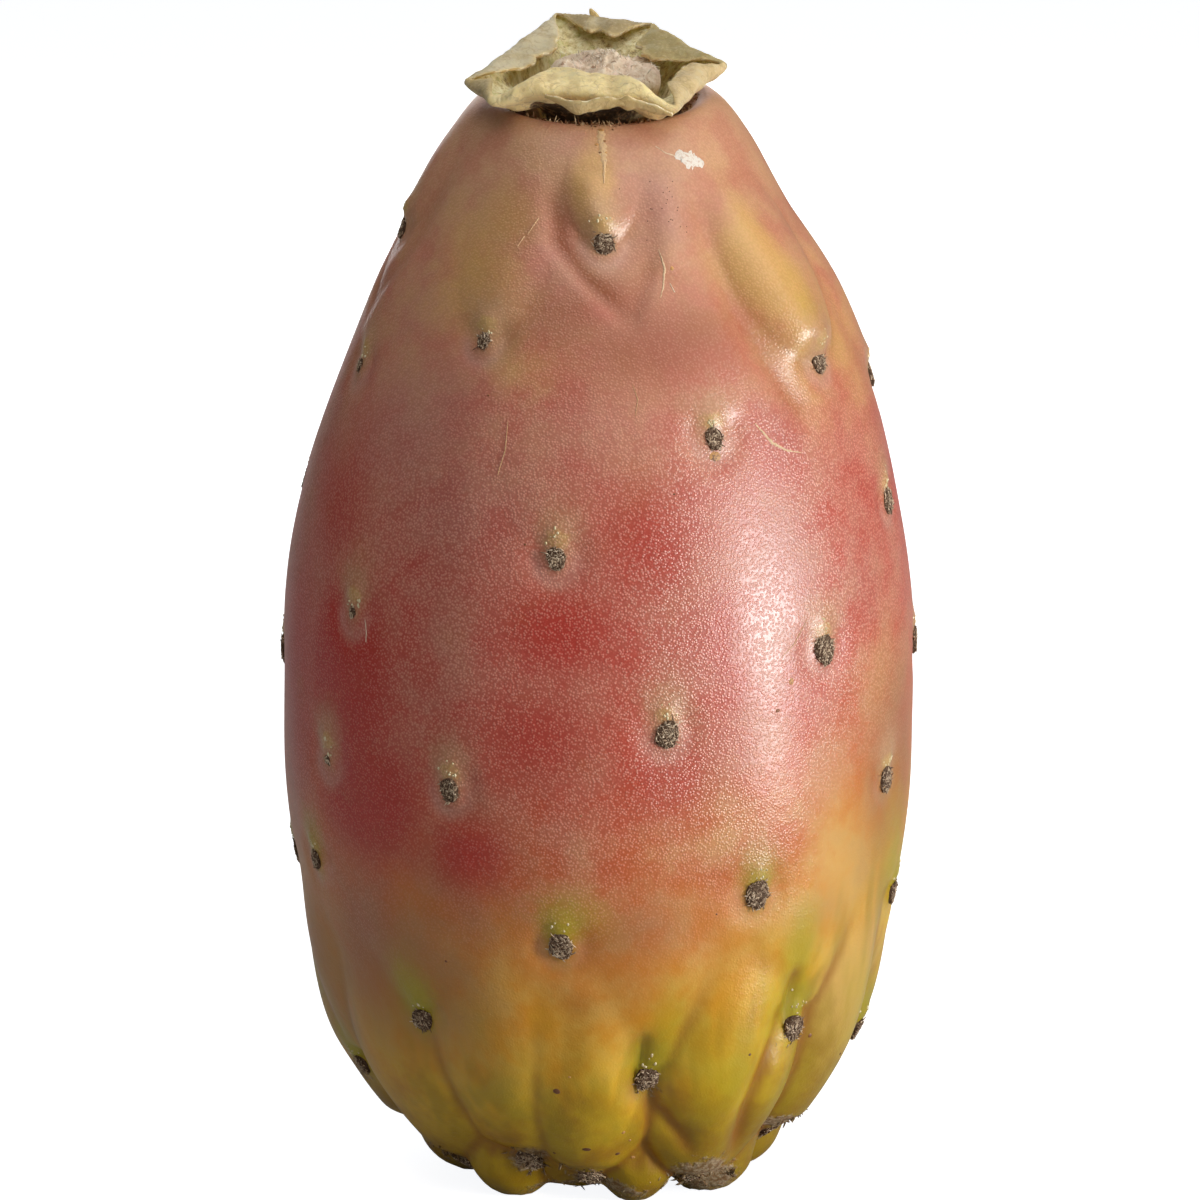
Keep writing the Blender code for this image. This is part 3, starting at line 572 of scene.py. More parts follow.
# pink patches: partly the skin's own waxy bloom, partly painted sheen; those at 21 degrees on the top and at
# 35 and 57 degrees by the gleam are painted sheen
BLOOM_AND_SHEEN_PATCHES = (
    (-44, 0.0605, 0.0070, 0.0070, 0.75), (21, 0.0770, 0.0026, 0.0040, 0.80),
    (-28, 0.0555, 0.0060, 0.0060, 0.50), (-12, 0.0735, 0.0030, 0.0040, 0.45),
    (52, 0.0470, 0.0045, 0.0050, 0.35), (-52, 0.0690, 0.0060, 0.0060, 0.50),
    (0, 0.0605, 0.0060, 0.0040, 0.30), (40, 0.0600, 0.0035, 0.0040, 0.45),
    (35, 0.0480, 0.0042, 0.0085, 0.85), (57, 0.0475, 0.0035, 0.0050, 0.50),
)
# painted shade: brown patches that darken the skin under the grooves of the top, on the left side and low
# down
PAINTED_SHADE_PATCHES = (
    (14, 0.0675, 0.0080, 0.0042, 0.80), (-10, 0.0695, 0.0050, 0.0045, 0.65),
    (-24, 0.0760, 0.0030, 0.0040, 0.45), (-78, 0.0300, 0.0050, 0.0120, 0.50),
    (-80, 0.0550, 0.0040, 0.0150, 0.60), (8, 0.0240, 0.0060, 0.0030, 0.45),
    (-30, 0.0240, 0.0060, 0.0040, 0.55), (46, 0.0240, 0.0040, 0.0030, 0.40),
    (-46, 0.0190, 0.0090, 0.0085, 0.90), (-76, 0.0160, 0.0080, 0.0100, 0.85),
    (-30, 0.0700, 0.0030, 0.0060, 0.35), (2, 0.0715, 0.0030, 0.0020, 0.60),
    (68, 0.0330, 0.0055, 0.0090, 1.00),
)
GREEN = (
    (54, 0.0675, 0.0018, 0.0030, 0.50), (41, 0.0200, 0.0016, 0.0050, 0.90),
    (36, 0.0160, 0.0016, 0.0040, 0.60), (14, 0.0160, 0.0018, 0.0050, 0.60),
    (28, 0.0125, 0.0040, 0.0050, 0.60), (-5, 0.0085, 0.0040, 0.0040, 0.40),
    (66, 0.0150, 0.0040, 0.0060, 0.50), (-40, 0.0180, 0.0022, 0.0035, 0.55),
    (72, 0.0260, 0.0030, 0.0060, 0.55), (48, 0.0100, 0.0030, 0.0050, 0.45),
    (-20, 0.0105, 0.0030, 0.0040, 0.35), (-2, 0.0250, 0.0024, 0.0026, 0.45),
)
CORK = (
    (29, 0.0048, 0.0020, 0.0022, 1.0), (38, 0.0028, 0.0022, 0.0022, 0.9), (61, 0.0062, 0.0030, 0.0013, 0.9),
    (70, 0.0080, 0.0022, 0.0016, 0.6), (-53, 0.0028, 0.0034, 0.0012, 0.7),
    (-19, 0.0050, 0.0016, 0.0016, 0.7), (-12, 0.0020, 0.0040, 0.0008, 0.6),
    (3, 0.0026, 0.0034, 0.0009, 0.8), (12, 0.0112, 0.0014, 0.0016, 0.5), (-85, 0.0085, 0.0024, 0.0016, 0.6),
    (46, 0.0140, 0.0010, 0.0014, 0.4),
)


def patches(table):
    """The strongest of a table's soft ellipses at each point of the skin."""
    mask = np.zeros_like(turn)
    for degrees, height, half_round, half_up, strength in table:
        up = along - outline.along_at_height(height)
        side = across(turn, math.radians(degrees), base_radius)
        mask = np.maximum(mask, strength * spot(side, up, half_round, half_up))
    return mask


BACK_TURNS = (88, 272)      # degrees from the front
draw = random.Random(SEED + 5)


def behind(count, heights, half_round, half_up, strengths):
    """Seeded ellipses for the side that isn't seen in the photograph."""
    return tuple(
        (draw.uniform(*BACK_TURNS), draw.uniform(*heights), draw.uniform(*half_round),
         draw.uniform(*half_up), draw.uniform(*strengths)) for _ in range(count)
    )


# (places of the front, number behind, their heights, half sizes round and up, and strengths)
PLACED = (
    (BLUSH, 18, (0.024, 0.060), (0.004, 0.007), (0.004, 0.008), (0.4, 1.0)),
    (STRAW, 10, (0.026, 0.076), (0.003, 0.006), (0.004, 0.007), (0.4, 0.9)),
    (BLOOM_AND_SHEEN_PATCHES, 9, (0.040, 0.074), (0.004, 0.007), (0.004, 0.007), (0.3, 0.7)),
    (PAINTED_SHADE_PATCHES, 6, (0.020, 0.070), (0.004, 0.007), (0.003, 0.006), (0.3, 0.6)),
    (GREEN, 12, (0.008, 0.026), (0.002, 0.004), (0.004, 0.006), (0.4, 0.8)),
    (CORK, 14, (0.002, 0.007), (0.0015, 0.003), (0.001, 0.002), (0.5, 1.0)),
)
blush, straw, bloom_and_sheen, painted_shade, green, corky = (patches(front + behind(*seeded)) for front, *seeded in PLACED)
cork = np.maximum(cork, corky)
print("most of the blush:", round(float(blush.max()), 2))

# %% [markdown]
# A valley is where the skin is lower than its surroundings, so it is found by comparing the relief
# with its own blurred copy. The stem scar is the bowl under the collar, where painted shadow darkens it,
# and the crown scar the bowl that the flower left. The height from which the colours are read is stored
# too: it wanders, because the yellow of the crown climbs higher in some places.


# %% Valleys and the stem scar
def blurred(values, rounds):
    """The grid's values, each averaged with its neighbours again and again."""
    grid = values.reshape(inner_rows, SKIN_STEPS)
    for _ in range(rounds):
        grid = 0.5 * grid + 0.125 * (
            np.roll(grid, 1, axis=1) + np.roll(grid, -1, axis=1)
            + np.vstack([grid[:1], grid[:-1]]) + np.vstack([grid[1:], grid[-1:]])
        )
    return grid.ravel()


# (turn in degrees, how much higher the yellow climbs there, in mm)
YELLOW_CLIMB = (
    (-90, 0.0), (-60, -2.0), (-35, -1.0), (-8, -1.5), (12, -0.5), (28, 2.0), (50, 7.0), (70, 10.0),
    (95, 7.0), (140, 2.0), (190, 5.0), (235, 1.0), (270, 2.0),
)
CLIMB_ENDS = (0.045, 0.065)
BROAD_WAVES, FINE_WAVES = (2.2, 0.014, 41), (1.0, 0.005, 42)     # (size in mm, length, seed)
BLUR_ROUNDS, VALLEY_DEPTH, SLIT_DEPTH = 14, 0.00012, 0.00022
STEM_SCAR, CROWN_SCAR = (0.0895, 0.0925), (0.0010, 0.0045)

climb = np.array(YELLOW_CLIMB, float)
shift = np.interp(np.degrees(np.remainder(turn + 0.5 * math.pi, math.tau)) - 90.0, climb[:, 0], climb[:, 1])
shift *= 1.0 - ease(base_height, *CLIMB_ENDS)
where = place_on_berry(base_radius, base_height, turn)
zone = 1000.0 * base_height - shift
for size, length, seed in (BROAD_WAVES, FINE_WAVES):
    zone += size * waves(where, length, seed)
valley = np.clip((blurred(lobe_rise, BLUR_ROUNDS) - lobe_rise) / VALLEY_DEPTH, 0.0, 1.0)
valley = np.maximum(valley, np.clip(-slits / SLIT_DEPTH, 0.0, 1.0))
stem_scar = ease(along, *STEM_SCAR)
crown_scar = ease(-along, *CROWN_SCAR)
for name, values in (
    ("zone", zone), ("halo", halo), ("brow", brow), ("pale_ring", pale_ring), ("cork", cork),
    ("blush", blush), ("straw", straw), ("bloom_and_sheen", bloom_and_sheen), ("painted_shade", painted_shade), ("green", green),
    ("valley", valley), ("stem_scar", stem_scar), ("crown_scar", crown_scar),
    ("furrow", np.clip(furrow_depth / FURROW, 0.0, 1.0)),
):
    set_mask(skin, name, to_skin(values))
print("masks:", [a.name for a in skin.data.attributes if a.data_type == "FLOAT"])

# %% [markdown]
# ## Building materials
# A material is a small network of nodes. These helpers add nodes and join them, so that each material
# below reads like a list of what it is made of. Sizes in a material are in millimetres.


# %% Node helpers
class Nodes:
    """Adds nodes to a tree. An input is given a value, or the output that feeds it."""

    def __init__(self, tree):
        self.tree = tree

    def add(self, kind, inputs=(), **settings):
        node = self.tree.nodes.new("ShaderNode" + kind)
        for key, value in settings.items():
            setattr(node, key, value)
        for key, value in dict(inputs).items():
            if isinstance(value, bpy.types.NodeSocket):
                self.tree.links.new(value, node.inputs[key])
            else:
                node.inputs[key].default_value = value
        return node

    def sum(self, kind, *values):
        """A Math node of that kind."""
        return self.add("Math", dict(enumerate(values)), operation=kind).outputs[0]

    def mask(self, name):
        """A mask that was stored on the mesh."""
        return self.add("Attribute", attribute_name=name).outputs["Fac"]

    def step(self, value, low, high):
        """0 below low, 1 above high, smooth between."""
        settings = {"Value": value, "From Min": low, "From Max": high}
        return self.add("MapRange", settings, interpolation_type="SMOOTHSTEP").outputs["Result"]

    def blend(self, amount, first, second):
        """From the first colour to the second."""
        node = self.add("Mix", data_type="RGBA")
        for key, value in ((0, amount), (6, first), (7, second)):
            if isinstance(value, bpy.types.NodeSocket):
                self.tree.links.new(value, node.inputs[key])
            else:
                node.inputs[key].default_value = value if key == 0 else (*value, 1.0)
        return node.outputs[2]

    def lay(self, below, mask, strength, tint):
        """Lays a colour over another where the mask is, no stronger than that."""
        return self.blend(self.sum("MULTIPLY", mask, strength), below, tint)

    def noise(self, where, scale, detail=2.0, rough=0.5, stretch=None):
        """Noise of so many lumps a millimetre, 0 to 1."""
        if stretch is not None:
            where = self.add("Mapping", {"Vector": where, "Scale": stretch}).outputs[0]
        inputs = {"Vector": where, "Scale": scale, "Detail": detail, "Roughness": rough}
        return self.add("TexNoise", inputs).outputs[0]

    def blotches(self, where, scale, low, high, detail=3.0, rough=0.5, stretch=None):
        """Soft blotches: 0 where a noise is below low, 1 where it is above high."""
        return self.step(self.noise(where, scale, detail, rough, stretch), low, high)

    def ramp(self, amount, stops):
        """Colours at places along a number from 0 to 1."""
        node = self.add("ValToRGB", {"Fac": amount})
        band = node.color_ramp
        while len(band.elements) < len(stops):
            band.elements.new(1.0)
        for element, (place, colour) in zip(band.elements, stops):
            element.position, element.color = place, (*colour, 1.0)
        return node.outputs["Color"]

    def millimetres(self):
        """The point on the object, in millimetres."""
        at = self.add("TexCoord").outputs["Object"]
        return self.add("VectorMath", {0: at, "Scale": 1000.0}, operation="SCALE").outputs[0]


def new_material(name):
    """A material with a Principled shader: the material, its helper and the shader."""
    mat = bpy.data.materials.new(name)
    mat.use_nodes = True
    return mat, Nodes(mat.node_tree), mat.node_tree.nodes["Principled BSDF"]


def feed(nodes, shader, **inputs):
    """Sets the shader's inputs, named with _ for each space."""
    for key, value in inputs.items():
        socket = shader.inputs[key.replace("_", " ")]
        if isinstance(value, bpy.types.NodeSocket):
            nodes.tree.links.new(value, socket)
        else:
            socket.default_value = value


# %% [markdown]
# Two effects come back in several materials, so each is a node group with named sockets. "frayed mask"
# gives a soft mask an irregular, natural edge. "fine relief" tilts the surface by a fine noise, for
# felt, scars, dried skin and pith.


# %% Shared node groups
def new_group(name, inputs, outputs):
    """An empty node group with the named sockets."""
    tree = bpy.data.node_groups.new(name, "ShaderNodeTree")
    for label, kind, value in inputs:
        socket = tree.interface.new_socket(label, in_out="INPUT", socket_type="NodeSocket" + kind)
        if value is not None:
            socket.default_value = value
    for label, kind in outputs:
        tree.interface.new_socket(label, in_out="OUTPUT", socket_type="NodeSocket" + kind)
    nodes = Nodes(tree)
    return tree, nodes, tree.nodes.new("NodeGroupInput").outputs, tree.nodes.new("NodeGroupOutput").inputs


frayed_mask, n, given, result = new_group(
    "frayed mask",
    [("Mask", "Float", 0.0), ("Noise", "Float", 0.5), ("Fray", "Float", 0.5), ("Edge", "Float", 0.5),
     ("Softness", "Float", 0.2)],
    [("Mask", "Float")],
)
moved = n.sum("MULTIPLY_ADD", n.sum("SUBTRACT", given["Noise"], 0.5), given["Fray"], given["Mask"])
low = n.sum("SUBTRACT", given["Edge"], given["Softness"])
high = n.sum("ADD", given["Edge"], given["Softness"])
n.tree.links.new(n.step(moved, low, high), result["Mask"])

fine_relief, n, given, result = new_group(
    "fine relief",
    [("Position", "Vector", None), ("Scale", "Float", 3.0), ("Strength", "Float", 0.5),
     ("Depth", "Float", 0.0001)],
    [("Normal", "Vector")],
)
grains = n.noise(given["Position"], given["Scale"], detail=3.0, rough=0.65)
bump = n.add("Bump", {"Strength": given["Strength"], "Distance": given["Depth"], "Height": grains})
n.tree.links.new(bump.outputs[0], result["Normal"])


def use_group(nodes, group, **inputs):
    """Places a node group with its own values and gives its first output."""
    node = nodes.add("Group", node_tree=group)
    for key, value in inputs.items():
        if isinstance(value, bpy.types.NodeSocket):
            nodes.tree.links.new(value, node.inputs[key])
        else:
            node.inputs[key].default_value = value
    return node.outputs[0]


def frayed(nodes, name, noise, fray, edge, softness):
    """A mask that was stored on the mesh, with its edge frayed by a noise."""
    return use_group(nodes, frayed_mask, Mask=nodes.mask(name), Noise=noise, Fray=fray, Edge=edge,
                     Softness=softness)


def roughened(nodes, where, scale, strength, depth):
    """The surface's direction, tilted by the fine relief."""
    return use_group(nodes, fine_relief, Position=where, Scale=scale, Strength=strength, Depth=depth)


def toned_material(name, tones, roughness, gloss=0.5):
    """A finish whose colour follows the tone that was stored on the mesh."""
    mat, nodes, shader = new_material(name)
    feed(nodes, shader, Base_Color=nodes.ramp(nodes.mask("tone"), tones), Roughness=roughness,
         Specular_IOR_Level=gloss)
    return mat


print("groups:", [g.name for g in bpy.data.node_groups])

# %% [markdown]
# ## The skin's material
# From the crown up the fruit goes from yellow through orange and rose to tan. That is a colour ramp on
# the height, read through a slow noise so that the bands wander. Everything else is laid over it, one
# layer after another.

# %% Skin: zones of colour
# (height in mm, colour where the skin is ruddy, colour where it is pale)
ZONES = (
    (0, (0.30, 0.155, 0.000), (0.38, 0.240, 0.000)), (6, (0.38, 0.195, 0.000), (0.46, 0.290, 0.000)),
    (12, (0.69, 0.325, 0.000), (0.79, 0.500, 0.015)), (16, (0.67, 0.295, 0.008), (0.78, 0.475, 0.045)),
    (21, (0.62, 0.215, 0.020), (0.70, 0.380, 0.070)), (27, (0.57, 0.130, 0.030), (0.63, 0.275, 0.100)),
    (36, (0.54, 0.080, 0.045), (0.58, 0.215, 0.132)), (46, (0.53, 0.088, 0.062), (0.57, 0.212, 0.146)),
    (55, (0.52, 0.125, 0.088), (0.57, 0.228, 0.155)), (62, (0.54, 0.158, 0.103), (0.58, 0.258, 0.155)),
    (70, (0.57, 0.215, 0.130), (0.61, 0.320, 0.165)), (80, (0.57, 0.260, 0.155), (0.64, 0.360, 0.200)),
)
ZONE_TOP, BAND_WANDER = 90.0, 9.0        # mm

skin_material, n, skin_shader = new_material("prickly pear skin")
at = n.millimetres()
mottle = n.noise(at, 0.26, detail=4.0, rough=0.62)
grain = n.noise(at, 1.6, detail=2.0, rough=0.6)
wander = n.sum("SUBTRACT", mottle, 0.5)
zone_at = n.sum("DIVIDE", n.sum("MULTIPLY_ADD", wander, BAND_WANDER, n.mask("zone")), ZONE_TOP)
ruddy = n.ramp(zone_at, [(height / ZONE_TOP, first) for height, first, _ in ZONES])
pale = n.ramp(zone_at, [(height / ZONE_TOP, second) for height, _, second in ZONES])
colour = n.blend(n.step(mottle, 0.32, 0.68), ruddy, pale)
print("zones of colour:", len(ZONES))

# %% [markdown]
# The skin isn't evenly ripe: it has a crimson blush and straw patches. The pink patches are partly a waxy
# bloom and partly painted sheen, and the brown ones are painted shade. They go through the frayed masks,
# so that no patch keeps the round edge of its ellipse.

# %% Skin: blush and patches
# (mask, noise that frays it, fray, softness, strength, colour), in the order in which they are laid on
PATCHES = (
    ("blush", mottle, 0.7, 0.42, 0.95, (0.47, 0.013, 0.008)),
    ("straw", mottle, 0.7, 0.40, 0.75, (0.71, 0.430, 0.120)),
    # partly waxy bloom, partly painted sheen
    ("bloom_and_sheen", grain, 0.4, 0.45, 0.55, (0.46, 0.220, 0.180)),
    # painted shade
    ("painted_shade", mottle, 0.6, 0.45, 0.64, (0.30, 0.100, 0.038)),
)
PATCH_EDGE = 0.45

for name, noise, fray, softness, strength, tint in PATCHES:
    colour = n.lay(colour, frayed(n, name, noise, fray, PATCH_EDGE, softness), strength, tint)
print("patches:", [patch[0] for patch in PATCHES])

# %% [markdown]
# The lower part is a vertical play of yellow, olive and orange. Its valleys, and the furrows round the
# tubercles of the top, get painted shade in brown. Then come the green above each areole, the yellow
# swelling in it, and the pale ring below. High on the fruit the green turns to tan.

# %% Skin: crown and areoles
LEAF_GREEN, LIME, OLIVE = (0.44, 0.360, 0.000), (0.38, 0.320, 0.005), (0.34, 0.215, 0.000)
# painted shade: brown for the valleys, red-brown for the furrows of the top
VALLEY_SHADE, FURROW_SHADE = (0.30, 0.100, 0.004), (0.36, 0.110, 0.050)
RING_PALE, BUD_YELLOW, HALO_TAN = (0.64, 0.380, 0.300), (0.58, 0.390, 0.130), (0.52, 0.310, 0.160)
LOWER_PART, TAN_FROM, RING_FROM = (12.0, 22.0), (24.0, 36.0), (18.0, 32.0)       # heights in mm

height_here = n.add("SeparateXYZ", {0: at}).outputs["Z"]
lower = n.sum("SUBTRACT", 1.0, n.step(n.mask("zone"), *LOWER_PART))
streaks = n.blotches(at, 0.34, 0.42, 0.64, detail=2.0, rough=0.6, stretch=(1.0, 1.0, 0.22))
colour = n.lay(colour, n.sum("MULTIPLY", streaks, lower), 0.50, OLIVE)
colour = n.lay(colour, frayed(n, "green", mottle, 0.5, 0.40, 0.40), 0.60, LEAF_GREEN)
# painted shade in the valleys, stronger low on the fruit
valley_shade_strength = n.sum("MULTIPLY_ADD", lower, 0.35, 0.35)
colour = n.lay(colour, n.mask("valley"), valley_shade_strength, VALLEY_SHADE)
# painted shade in the furrows round the tubercles of the top
colour = n.lay(colour, n.mask("furrow"), 0.70, FURROW_SHADE)
up_high = n.step(height_here, *TAN_FROM)
halo_colour, bud_colour = (n.blend(up_high, LIME, tint) for tint in (HALO_TAN, BUD_YELLOW))
colour = n.lay(colour, frayed(n, "halo", grain, 0.45, 0.42, 0.42), 0.70, halo_colour)
colour = n.lay(colour, frayed(n, "brow", grain, 0.8, 0.45, 0.25), 0.60, bud_colour)
ring_shows = n.sum("MULTIPLY_ADD", n.step(n.mask("zone"), *RING_FROM), 0.34, 0.06)
colour = n.lay(colour, n.mask("pale_ring"), ring_shows, RING_PALE)
print("nodes so far:", len(skin_material.node_tree.nodes))

# %% [markdown]
# Close up, the skin is packed with tiny pale papillae, three or four to the millimetre. A Voronoi
# pattern has just such evenly crowded cells: the distance to a cell's own point gives both the pale
# dots and the bump that breaks up the gleam. It runs through space, so it has no seam and no pinched
# ends, and the cells are set a little smaller because the surface misses some of their points.

# %% Skin: papillae
PAPILLAE = 5.0                # cells to the millimetre
CELL_TURN, CELL_UNEVENNESS = (0.61, 0.97, 0.35), 0.85
BETWEEN_RED, PAPILLA_PALE = (0.38, 0.045, 0.020), (0.84, 0.400, 0.290)

turned = n.add("Mapping", {"Vector": at, "Rotation": CELL_TURN}).outputs[0]
pattern = {"Vector": turned, "Scale": PAPILLAE, "Randomness": CELL_UNEVENNESS}
cells = n.add("TexVoronoi", pattern, feature="F1").outputs["Distance"]
papilla = n.sum("SUBTRACT", 1.0, n.step(cells, 0.12, 0.56))
less_on_tan = n.sum("MULTIPLY_ADD", n.step(n.mask("zone"), 52.0, 68.0), -0.6, 1.0)
reddish = n.sum("MULTIPLY", n.step(n.mask("zone"), 19.0, 36.0), less_on_tan)
papilla_shows = n.sum("MULTIPLY", reddish, n.sum("MULTIPLY_ADD", n.mask("blush"), -0.22, 0.52))
between_shows = n.sum("MULTIPLY", reddish, 0.30)
colour = n.lay(colour, n.step(cells, 0.45, 0.75), between_shows, BETWEEN_RED)
colour = n.lay(colour, papilla, papilla_shows, PAPILLA_PALE)
print("papillae:", PAPILLAE, "cells to the millimetre")

# %% [markdown]
# Cork is dead skin, grey and brown in turn. The scars at both ends are dead skin too: brown under the
# collar, mixed with a near-black painted shadow, and tan in the bowl of the flower.

# %% Skin: cork and scars
CORK_BROWN, CORK_GREY = (0.20, 0.105, 0.045), (0.44, 0.340, 0.230)
STEM_SHADOW, STEM_BROWN = (0.050, 0.018, 0.010), (0.26, 0.090, 0.045)
CROWN_BROWN, CROWN_TAN = (0.16, 0.080, 0.030), (0.46, 0.300, 0.140)

cork_mask = frayed(n, "cork", grain, 0.9, 0.48, 0.14)
cork_colour = n.blend(n.blotches(at, 2.6, 0.40, 0.62, rough=0.7), CORK_BROWN, CORK_GREY)
colour = n.lay(colour, cork_mask, 0.85, cork_colour)
# the stem scar: brown mixed by a noise with near-black painted shadow under the collar
colour = n.blend(n.mask("stem_scar"), colour, n.blend(grain, STEM_SHADOW, STEM_BROWN))
colour = n.lay(colour, n.mask("crown_scar"), 0.9, n.blend(grain, CROWN_BROWN, CROWN_TAN))
rough_parts = n.sum("MAXIMUM", cork_mask, n.sum("MAXIMUM", n.mask("stem_scar"), n.mask("crown_scar")))
print("nodes so far:", len(skin_material.node_tree.nodes))

# %% [markdown]
# The waxy skin has a soft gleam, with hardly any where it is cork. The relief in it is the papillae, a
# fine grain, deeper on the cork, and a slow unevenness that breaks the gleam's edge. A thin coat and a
# little light under the surface give the depth of ripe flesh.

# %% Skin: gleam and relief
WAXY, MOTTLED, CORKY = 0.30, 0.16, 0.35          # what each adds to the roughness
PAPILLA_RELIEF, UNEVEN_RELIEF = 0.55, 1.1
GRAIN_RELIEF, CORK_RELIEF = 0.5, 3.0
RELIEF_STRENGTH, RELIEF_DEPTH = 0.58, 0.000085

roughness = n.sum("MULTIPLY_ADD", rough_parts, CORKY, n.sum("MULTIPLY_ADD", mottle, MOTTLED, WAXY))
dome = n.sum("SUBTRACT", 1.0, n.step(cells, 0.10, 0.62))
dome = n.sum("MULTIPLY", dome, n.sum("MULTIPLY_ADD", reddish, 0.75, 0.25))
grainy = n.sum("MULTIPLY", grain, n.sum("MULTIPLY_ADD", rough_parts, CORK_RELIEF, GRAIN_RELIEF))
relief = n.sum("MULTIPLY_ADD", dome, PAPILLA_RELIEF, grainy)
uneven = n.noise(at, 0.50, detail=3.0, rough=0.6)
relief = n.sum("MULTIPLY_ADD", uneven, UNEVEN_RELIEF, relief)
bump = n.add("Bump", {"Strength": RELIEF_STRENGTH, "Distance": RELIEF_DEPTH, "Height": relief}).outputs[0]
feed(n, skin_shader, Base_Color=colour, Roughness=roughness, Normal=bump, Subsurface_Weight=0.10,
     Subsurface_Radius=(1.0, 0.30, 0.15), Subsurface_Scale=0.0012, Specular_IOR_Level=0.5,
     Coat_Weight=0.10, Coat_Roughness=0.32)
skin.data.materials.append(skin_material)
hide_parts("fruit")
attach(skin, "root")
print("skin material:", len(skin_material.node_tree.nodes), "nodes")

# %% [markdown]
# ## Areoles
# An areole is a small oval cushion of brown felt, with the stubble of the fine barbed hairs. On the
# real fruit it grows on the skin, so each place is found by looking straight in at the finished skin,
# which also gives the direction that the cushion faces.


# %% Finding the skin under each areole
PROBE = 0.008                 # the skin is looked for from this far outside it
corners = [v.co for v in skin.data.vertices]
skin_tree = BVHTree.FromPolygons(corners, [tuple(p.vertices) for p in skin.data.polygons])


def on_skin(turn, along):
    """Where a place is on the fine skin: the point, and the directions out, up and to the side."""
    r, z, normal = outline.at(along)
    base = Vector(place_on_berry(np.array([r]), np.array([z]), np.array([turn]))[0])
    straight = Vector((normal[0] * math.sin(turn), -normal[0] * math.cos(turn), normal[1])).normalized()
    hit, facing, _, _ = skin_tree.ray_cast(base + straight * PROBE, -straight)
    if hit is None:
        hit, facing = base, straight
    out = facing.lerp(straight, 0.5).normalized()
    side = Vector((math.cos(turn), math.sin(turn), 0.0))
    up = out.cross(side).normalized()
    return hit, out, up, up.cross(out).normalized()


seats = [on_skin(turn_, along_) for turn_, along_, _, _, _ in areoles]
print("seats found:", len(seats))

# %% [markdown]
# The front's areoles aren't alike: some are broad and dark, some small with pale hairs, and two are
# hardly more than a slit. Each gets a size and a paleness; those behind take seeded values.

# %% Size and paleness of each areole
# number in FRONT_AREOLES: (size, paleness 0 to 1)
SEEN = {
    0: (0.92, 0.45), 1: (0.62, 0.55), 2: (0.50, 0.50), 3: (0.95, 0.35), 4: (0.82, 0.35), 6: (1.00, 0.55),
    7: (0.85, 0.80), 8: (0.42, 0.70), 9: (1.12, 0.50), 12: (1.05, 0.60), 13: (0.36, 0.90),
    14: (0.90, 0.50), 15: (1.02, 0.40), 16: (0.80, 0.30), 17: (1.15, 0.45), 18: (1.08, 0.50),
    19: (1.00, 0.30), 20: (1.00, 0.25), 21: (1.02, 0.50), 22: (1.05, 0.55),
}
USUAL_SIZE, USUAL_PALENESS, CROWN_SIZE = (0.85, 1.12), (0.3, 0.6), 1.04
draw = random.Random(SEED + 2)
felt = []
for areole in areoles:
    usual = (draw.uniform(*USUAL_SIZE), draw.uniform(*USUAL_PALENESS))
    felt.append((CROWN_SIZE * usual[0], usual[1]) if areole[4] != SIDE_LOBE else usual)
felt = [SEEN.get(number, usual) for number, usual in enumerate(felt)]
print("areole sizes", round(min(s for s, _ in felt), 2), "to", round(max(s for s, _ in felt), 2))

# %% [markdown]
# Each cushion is a low dome with an uneven edge. All of them are one mesh, because they share one
# finish.

# %% The felt cushions
PAD_RADIUS, PAD_STAND, PAD_ROOT = 0.00098, 0.00024, 0.00030
PAD_SIDES, PAD_RINGS = 20, 6
PAD_WIDE, PAD_TALL = 0.93, 1.08          # it is a little taller than wide


def pad_edge(angle, lean, seed):
    """The uneven oval outline of a cushion, 1 on average."""
    edge = 1.0 + 0.07 * math.cos(2 * (angle - lean))
    return edge + 0.04 * math.sin(3 * angle + seed) + 0.03 * math.sin(5 * angle - seed)


def pad_height(share):
    """A flat top that falls off steeply near the edge."""
    return 1.0 - share**5


pad_shapes = [(draw.gauss(0.5 * math.pi, 0.6), draw.uniform(0.0, 100.0)) for _ in areoles]
pad_points, pad_faces, pad_tone = [], [], []
for (hit, out, up, side), (size, pale), (lean, seed) in zip(seats, felt, pad_shapes):
    start = len(pad_points)
    for ring in range(PAD_RINGS):
        share = ((ring + 1) / PAD_RINGS) ** 0.6
        for k in range(PAD_SIDES):
            a = k * math.tau / PAD_SIDES
            reach = PAD_RADIUS * size * share * pad_edge(a, lean, seed)
            lift = PAD_STAND * size * pad_height(share) - (PAD_ROOT if ring == PAD_RINGS - 1 else 0.0)
            place = hit + side * (PAD_WIDE * reach * math.cos(a)) + up * (PAD_TALL * reach * math.sin(a))
            pad_points.append(place + out * lift)
    pad_points.append(hit + out * PAD_STAND * size)
    crown_point = len(pad_points) - 1
    for ring in range(PAD_RINGS - 1):
        for k in range(PAD_SIDES):
            a, b = start + ring * PAD_SIDES + k, start + ring * PAD_SIDES + (k + 1) % PAD_SIDES
            pad_faces.append((a, a + PAD_SIDES, b + PAD_SIDES, b))
    pad_faces += [(crown_point, start + k, start + (k + 1) % PAD_SIDES) for k in range(PAD_SIDES)]
    pad_tone += [pale] * (len(pad_points) - start)
pads = new_object("areole_cushions", pad_points, pad_faces)
set_mask(pads, "pale", pad_tone)
print("cushions:", len(pads.data.polygons), "faces")

# %% [markdown]
# The stubble is thousands of short tapered hairs. Blender's own hair isn't a mesh, so it would be lost
# when the model is exported: here every hair is a three-sided spike, all built at once with arrays.


# %% Growing hairs
HAIR_SIDES = 3
HAIR_AT = np.array([0.0, 0.4, 0.75])      # places of the rings along a hair
HAIR_WIDE = np.array([1.0, 0.95, 0.7])


